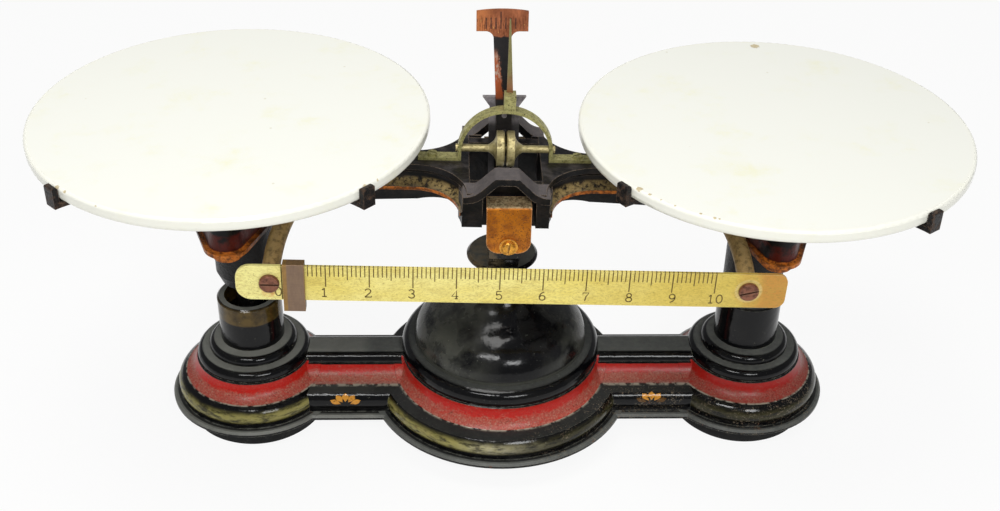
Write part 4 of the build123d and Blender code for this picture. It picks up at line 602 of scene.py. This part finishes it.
# Chips and rusty spots along the plates' rims: x, y and size
CHIPS_LEFT = (
    (-158.0, -54.6, 1.2), (-154.6, -57.6, 0.8), (-50.6, -53.4, 1.1), (-46.4, -48.8, 0.6),
    (-142.0, -66.6, 0.5),
)
CHIPS_RIGHT = (
    (58.2, -58.9, 0.5), (53.8, -55.0, 0.4), (50.2, -51.4, 0.7), (66.5, -64.2, 0.6),
    (71.0, -67.0, 0.7), (72.6, -67.6, 0.45), (47.0, -47.6, 1.3), (110.1, 70.7, 2.0),
)


# Plates: ivory milk glass with faint stains, a creamy rim painted paler against its shade, and a
# few chips
def milk_glass(name, x, cloud_shift, chips):
    g = Finish(name)
    rim = g.radius(x)
    cloud = g.patches(0.5, 0.72, 24.0, 6.0, 0.62, shift=cloud_shift)
    blotch = g.patches(0.46, 0.66, 8.0, 6.0, 0.7, shift=5.0)
    stain = g.times(cloud, g.plus(0.25, g.times(blotch, 0.5)))
    colour = g.mix(stain, rgb(249, 249, 240), rgb(246, 244, 210))
    # Rim painted paler and creamier, which lifts the shade on its rounded side
    colour = g.mix(g.times(g.ramp(rim, 73.0, 76.0), 0.5), colour, rgb(252, 250, 236))
    height = g.times(g.noise(9.0, 4.0), 0.15)
    for at_x, at_y, size in chips:
        across = g.square(g.times(g.minus(g.x, at_x), 1 / size))
        along = g.square(g.times(g.minus(g.y, at_y), 1 / size))
        blot = g.plus(g.plus(across, along), g.drift(2.6, 0.9, 4.0, 0.7))
        spot = g.times(g.ramp(blot, 1.2, 0.4), g.ramp(g.up, 0.25, 0.6))
        earthy = g.mix(g.noise(0.9), rgb(166, 138, 84), rgb(226, 208, 156))
        colour = g.mix(g.times(spot, 0.8), colour, earthy)
        height = g.minus(height, g.times(spot, 0.6))
    specks = g.times(g.spots(19.0, 0.022, 0.012, 2.0), 0.4)
    colour = g.mix(specks, colour, rgb(210, 200, 166))
    rough = g.plus(0.16, g.times(g.patches(0.5, 0.75, 1.2, 4.0, 0.6, (8, 1, 1)), 0.1))
    return g.finish(colour, rough, height, 0.12, specular=0.4)


# Black rubber of the foot pads, greyed and pitted
def pad_rubber():
    g = Finish("pad_rubber")
    chalk = g.times(g.patches(0.48, 0.72, 4.0, 7.0, 0.7), 0.5)
    colour = g.mix(chalk, rgb(18, 18, 18), rgb(70, 68, 64))
    colour = g.mix(g.times(g.edges(0.8), 0.4), colour, rgb(84, 82, 78))
    rough = g.plus(0.66, g.times(g.noise(3.0), 0.2))
    height = g.plus(g.noise(0.9, 5.0, 0.7), g.noise(5.0, 3.0))
    return g.finish(colour, rough, height, 0.5, specular=0.3)


# Dark fill of an engraved line
def engraved_fill(name, dark, light):
    g = Finish(name)
    colour = g.mix(g.patches(0.4, 0.72, 2.6, 6.0, 0.7), dark, light)
    rough = g.plus(0.5, g.times(g.noise(1.0), 0.2))
    return g.finish(colour, rough, g.noise(0.5, 3.0), 0.05, metal=0.1)


# Materials on the CAD nodes
finishes = [
    (base_japan(), ["base_casting"]),
    (bell_japan(), ["pillar"]),
    (beam_japan(), ["beam_casting"]),
    (
        carrier_japan("carrier_japan", rgb(96, 74, 58), 0.48),
        ["pan_carrier_left", "pan_carrier_right"],
    ),
    (
        carrier_japan("stem_japan", rgb(40, 38, 38), 0.54),
        ["carrier_stem_left", "carrier_stem_right", "stay_lever"],
    ),
    (coppered_sheet(), ["knife_guard_front", "knife_guard_rear"]),
    (
        metal("bright_brass", rgb(232, 164, 60), rgb(124, 100, 58), 1.6, rough=0.26, metallic=0.75),
        ["guard_screws", "guard_washers"],
    ),
    # Grey sheet, turned near black below 133 to 137 mm, under the arch
    (
        metal(
            "grey_sheet", rgb(152, 146, 150), rgb(92, 86, 90), 5.0,
            low=0.4, rough=0.5, pits=0.2, metallic=0.25, foot=(137.0, 133.0, rgb(16, 14, 13)),
        ),
        ["index_support", "index_rivets", "support_screw"],
    ),
    (index_brass(), ["index_plate"]),
    (
        metal(
            "aged_brass", rgb(186, 180, 118), rgb(88, 82, 36), 1.7,
            pits=0.9, metallic=0.45, dusty=0.4,
        ),
        ["arch_bridge", "arch_screws", "pointer_block"],
    ),
    (
        metal(
            "nut_brass", rgb(190, 176, 124), rgb(104, 90, 52), 2.0,
            low=0.44, rough=0.36, pits=0.5, metallic=0.45,
        ),
        ["balance_rod", "balance_nut_left", "balance_nut_right"],
    ),
    (
        metal(
            "pointer_brass", rgb(134, 128, 80), rgb(104, 70, 42), 4.0,
            low=0.44, metallic=0.3, foot=(163.0, 153.0, rgb(146, 92, 62)),
        ),
        ["pointer"],
    ),
    (
        metal(
            "hardened_steel", rgb(150, 152, 156), rgb(84, 82, 82), 4.0,
            low=0.5, rough=0.3, pits=0.2,
        ),
        [
            "main_knife_edge", "main_bearings", "end_knife_edges_left", "end_knife_edges_right",
            "carrier_bearings_left", "carrier_bearings_right",
        ],
    ),
    (
        metal("plain_steel", rgb(134, 132, 128), rgb(84, 72, 62), 3.0),
        ["pillar_screws", "stay_pin", "stem_pin_left", "stem_pin_right"],
    ),
    (
        metal(
            "bronzed_steel", rgb(140, 90, 68), rgb(62, 30, 22), 1.6,
            rough=0.3, metallic=0.5, dusty=0.2, scratch=(14, 1, 1),
        ),
        ["bar_screws", "bracket_screws_left", "bracket_screws_right"],
    ),
    (
        metal(
            "dull_bronze", rgb(168, 138, 86), rgb(84, 68, 42), 2.2,
            rough=0.46, metallic=0.3, dusty=0.4,
        ),
        ["bar_bracket_left", "bar_bracket_right"],
    ),
    (bar_brass(), ["scale_bar"]),
    (poise_brass(), ["poise"]),
    (milk_glass("milk_glass_left", -ARM, 0.0, CHIPS_LEFT), ["plate_left"]),
    (milk_glass("milk_glass_right", ARM, 3.0, CHIPS_RIGHT), ["plate_right"]),
    (pad_rubber(), ["foot_pad_left", "foot_pad_right"]),
]
for material, members in finishes:
    for member in members:
        mesh_slots = nodes[member].material_slots
        if not mesh_slots:
            nodes[member].data.materials.append(material)
        for mesh_slot in mesh_slots:
            mesh_slot.material = material


# Place on the leaning beam or on the upright index plate, from millimetres
def lean(x, y, z, turn):
    rise = z - PIVOT
    across = x * math.cos(turn) + rise * math.sin(turn)
    return (across * MM, y * MM, (PIVOT + rise * math.cos(turn) - x * math.sin(turn)) * MM)


# Flat stroke along points of an upright face, in millimetres, as thin as an engraved line
def stroke(mesh, points, width, y, turn=0.0):
    rims = []
    for place, point in enumerate(points):
        before = points[max(place - 1, 0)]
        after = points[min(place + 1, len(points) - 1)]
        along = Vector((after[0] - before[0], after[1] - before[1])).normalized()
        across = Vector((-along.y, along.x)) * width / 2
        rims.append([
            mesh.verts.new(lean(point[0] + sign * across.x, y, point[1] + sign * across.y, turn))
            for sign in (1, -1)
        ])
    for a, b in zip(rims, rims[1:]):
        mesh.faces.new((a[0], a[1], b[1], b[0]))


# Points of an elliptic arc, from and to angles in degrees
def arc(x, z, across, up, start, end, steps=14):
    angles = (math.radians(start + (end - start) * k / steps) for k in range(steps + 1))
    return [(x + across * math.cos(a), z + up * math.sin(a)) for a in angles]


# Serif numerals in a box one high and about 0.6 wide
NUMERALS = {
    "0": [arc(0, 0.5, 0.28, 0.48, 90, 450, 28)],
    "1": [[(0.0, 0.0), (0.0, 0.98)], [(-0.2, 0.78), (0.0, 0.96)], [(-0.22, 0.02), (0.22, 0.02)]],
    "2": [
        arc(0, 0.72, 0.26, 0.26, 170, -35) + [(-0.28, 0.04)],
        [(-0.29, 0.04), (0.3, 0.04), (0.31, 0.18)],
    ],
    "3": [arc(0, 0.74, 0.24, 0.24, 160, -90), arc(0, 0.26, 0.28, 0.25, 90, -165)],
    "4": [[(0.3, 0.28), (-0.32, 0.28), (0.12, 0.97), (0.12, 0.02)], [(-0.02, 0.02), (0.26, 0.02)]],
    "5": [[(0.24, 0.96), (-0.2, 0.96), (-0.22, 0.52)], arc(0, 0.31, 0.28, 0.29, 142, -155)],
    "6": [arc(0.22, 0.36, 0.5, 0.6, 95, 180, 10), arc(0, 0.29, 0.27, 0.27, 180, 540, 24)],
    "7": [[(-0.28, 0.8), (-0.27, 0.95), (0.29, 0.95), (0.02, 0.5), (-0.06, 0.02)]],
    "8": [arc(0, 0.74, 0.22, 0.23, 90, 450, 24), arc(0, 0.26, 0.28, 0.25, 90, 450, 24)],
    "9": [arc(0, 0.7, 0.27, 0.27, 0, 360, 24), arc(-0.22, 0.63, 0.5, 0.6, 0, -85, 10)],
}


# Piece of the visual model that has no CAD node, made to ride a body
def piece(name, mesh, material, body):
    data = bpy.data.meshes.new(name)
    bmesh.ops.recalc_face_normals(mesh, faces=mesh.faces)
    mesh.to_mesh(data)
    mesh.free()
    made = bpy.data.objects.new(name, data)
    bpy.context.scene.collection.objects.link(made)
    data.materials.append(material)
    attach(made, body)


# Graduation of the bar: ten units of ten parts, which run on over its top edge
FIRST_LINE = -82.4
LINE_STEP = 1.597
ZERO_LENGTH = 14.7
UNIT_LENGTH = 8.8
HALF_LENGTH = 5.7
TENTH_LENGTH = 4.3
UNIT_WIDTH = 0.46
LINE_WIDTH = 0.4
FILL_LIFT = 0.012
EDGE_GAP = 0.05
TOP_REACH = 1.15

graduation = bmesh.new()
bar_top = BAR_MIDDLE + BAR_HALF
for step in range(101):
    x = FIRST_LINE + step * LINE_STEP
    length, width = TENTH_LENGTH, LINE_WIDTH
    if step % 5 == 0:
        length = HALF_LENGTH
    if step % 10 == 0:
        length, width = UNIT_LENGTH, UNIT_WIDTH
    if step == 0:
        length = ZERO_LENGTH
    ends = [(x, bar_top - EDGE_GAP), (x, bar_top - length)]
    stroke(graduation, ends, width, BAR_FRONT - FILL_LIFT, TILT)
    corners = ((-1, EDGE_GAP), (1, EDGE_GAP), (1, TOP_REACH), (-1, TOP_REACH))
    graduation.faces.new([
        graduation.verts.new(
            lean(x + side * width / 2, BAR_FRONT + inward, bar_top + FILL_LIFT, TILT)
        )
        for side, inward in corners
    ])

# Numerals under the unit lines, drifting to the right after the third, as stamped by hand
ZERO_SIGN = -83.8
FIRST_SIGN = -67.0
SIGN_STEP = 16.0
SIGN_DRIFT = 0.13
SIGN_PITCH = 3.2
SIGN_FOOT = 95.2
SIGN_HEIGHT = 3.9
SIGN_WIDTH = 0.48
SIGN_LIFT = 0.014

for unit in range(11):
    middle = ZERO_SIGN
    if unit:
        middle = FIRST_SIGN + (unit - 1) * SIGN_STEP + max(unit - 3, 0) * SIGN_DRIFT
    text = str(unit)
    for place, sign in enumerate(text):
        x = middle + (place - (len(text) - 1) / 2) * SIGN_PITCH
        for line in NUMERALS[sign]:
            points = [(x + a * SIGN_HEIGHT, SIGN_FOOT + b * SIGN_HEIGHT) for a, b in line]
            stroke(graduation, points, SIGN_WIDTH, BAR_FRONT - SIGN_LIFT, TILT)
fill = engraved_fill("bar_fill", rgb(92, 74, 26), rgb(134, 112, 44))
piece("bar_graduation", graduation, fill, "beam")

# Seven short marks on the index plate's head, the middle one longer
MARK_MIDDLE = -2.0
MARK_STEP = 1.85
MARK_WIDTH = 0.5
MARK_FOOT = 175.4
MARK_TOP = 180.0
LONG_MARK_TOP = 182.4

marks = bmesh.new()
for step in range(-3, 4):
    x = MARK_MIDDLE + step * MARK_STEP
    top = MARK_TOP if step else LONG_MARK_TOP
    stroke(marks, [(x, top), (x, MARK_FOOT)], MARK_WIDTH, PLATE_FRONT - FILL_LIFT)
fill = engraved_fill("mark_fill", rgb(60, 28, 18), rgb(120, 66, 40))
piece("index_marks", marks, fill, "base")

# Floor: pale paper, which the camera and reflections see as nearly white, with its shadows
FLOOR_HALF = 40.0
FLOOR_GLOW = 0.91

data = bpy.data.meshes.new("floor")
floor_mesh = bmesh.new()
bmesh.ops.create_grid(floor_mesh, x_segments=1, y_segments=1, size=FLOOR_HALF)
floor_mesh.to_mesh(data)
floor_mesh.free()
floor = bpy.data.objects.new("floor", data)
bpy.context.scene.collection.objects.link(floor)
g = Finish("floor")
paper = g.add("ShaderNodeBsdfDiffuse", rgb(236, 236, 234)).outputs[0]
glow = g.add("ShaderNodeEmission", (1, 1, 1, 1), 1.0).outputs[0]
rays = g.add("ShaderNodeLightPath").outputs
seen = g.most(rays["Is Camera Ray"], rays["Is Glossy Ray"], rays["Is Transmission Ray"])
both = g.add("ShaderNodeMixShader", g.times(seen, FLOOR_GLOW), paper, glow).outputs[0]
g.put(g.add("ShaderNodeOutputMaterial").inputs["Surface"], both)
data.materials.append(g.material)

# Soft studio light: a dim sky, an overhead key and two narrower boxes in front
world = bpy.data.worlds.new("studio")
bpy.context.scene.world = world
world.use_nodes = True
ground = world.node_tree.nodes["Background"]
ground.inputs["Color"].default_value = (0.96, 0.98, 1.0, 1)
ground.inputs["Strength"].default_value = 0.3


def softbox(name, place, target, wide, tall, watts, colour):
    lamp = bpy.data.lights.new(name, "AREA")
    lamp.shape = "RECTANGLE"
    lamp.size, lamp.size_y, lamp.energy, lamp.color = wide, tall, watts, colour
    made = bpy.data.objects.new(name, lamp)
    made.location = place
    made.rotation_euler = (Vector(target) - Vector(place)).to_track_quat("-Z", "Y").to_euler()
    bpy.context.scene.collection.objects.link(made)


softbox("key", (-0.1, -0.1, 1.0), (0, 0, 0.05), 0.42, 0.36, 3.8, (1.0, 0.99, 0.97))
softbox("left", (-0.29, -0.75, 0.95), (0, 0, 0.08), 0.44, 0.11, 3.3, (1.0, 1.0, 1.0))
softbox("front", (0.3, -0.95, 0.75), (0, 0, 0.08), 0.36, 0.2, 3.8, (0.98, 0.99, 1.0))

# Camera where the photograph was taken from, turned a little about its own axis
CAMERA_PLACE = (-0.0191, -0.4687, 0.3951)
CAMERA_FORWARD = (0.0323, 0.8276, -0.5603)
CAMERA_ROLL = math.radians(1.218)
CAMERA_LENS = 49.59
CAMERA_SENSOR = 36.0

camera_data = bpy.data.cameras.new("camera")
camera_data.sensor_fit = "HORIZONTAL"
camera_data.sensor_width = CAMERA_SENSOR
camera_data.lens = CAMERA_LENS
camera_data.dof.use_dof = False
camera = bpy.data.objects.new("camera", camera_data)
bpy.context.scene.collection.objects.link(camera)
forward = Vector(CAMERA_FORWARD).normalized()
level = forward.cross(Vector((0, 0, 1))).normalized()
upright = level.cross(forward)
right = level * math.cos(CAMERA_ROLL) + upright * math.sin(CAMERA_ROLL)
above = upright * math.cos(CAMERA_ROLL) - level * math.sin(CAMERA_ROLL)
turn = Matrix((right, above, -forward)).transposed().to_4x4()
camera.matrix_world = Matrix.Translation(CAMERA_PLACE) @ turn
bpy.context.scene.camera = camera
bpy.context.scene.view_settings.view_transform = "Standard"
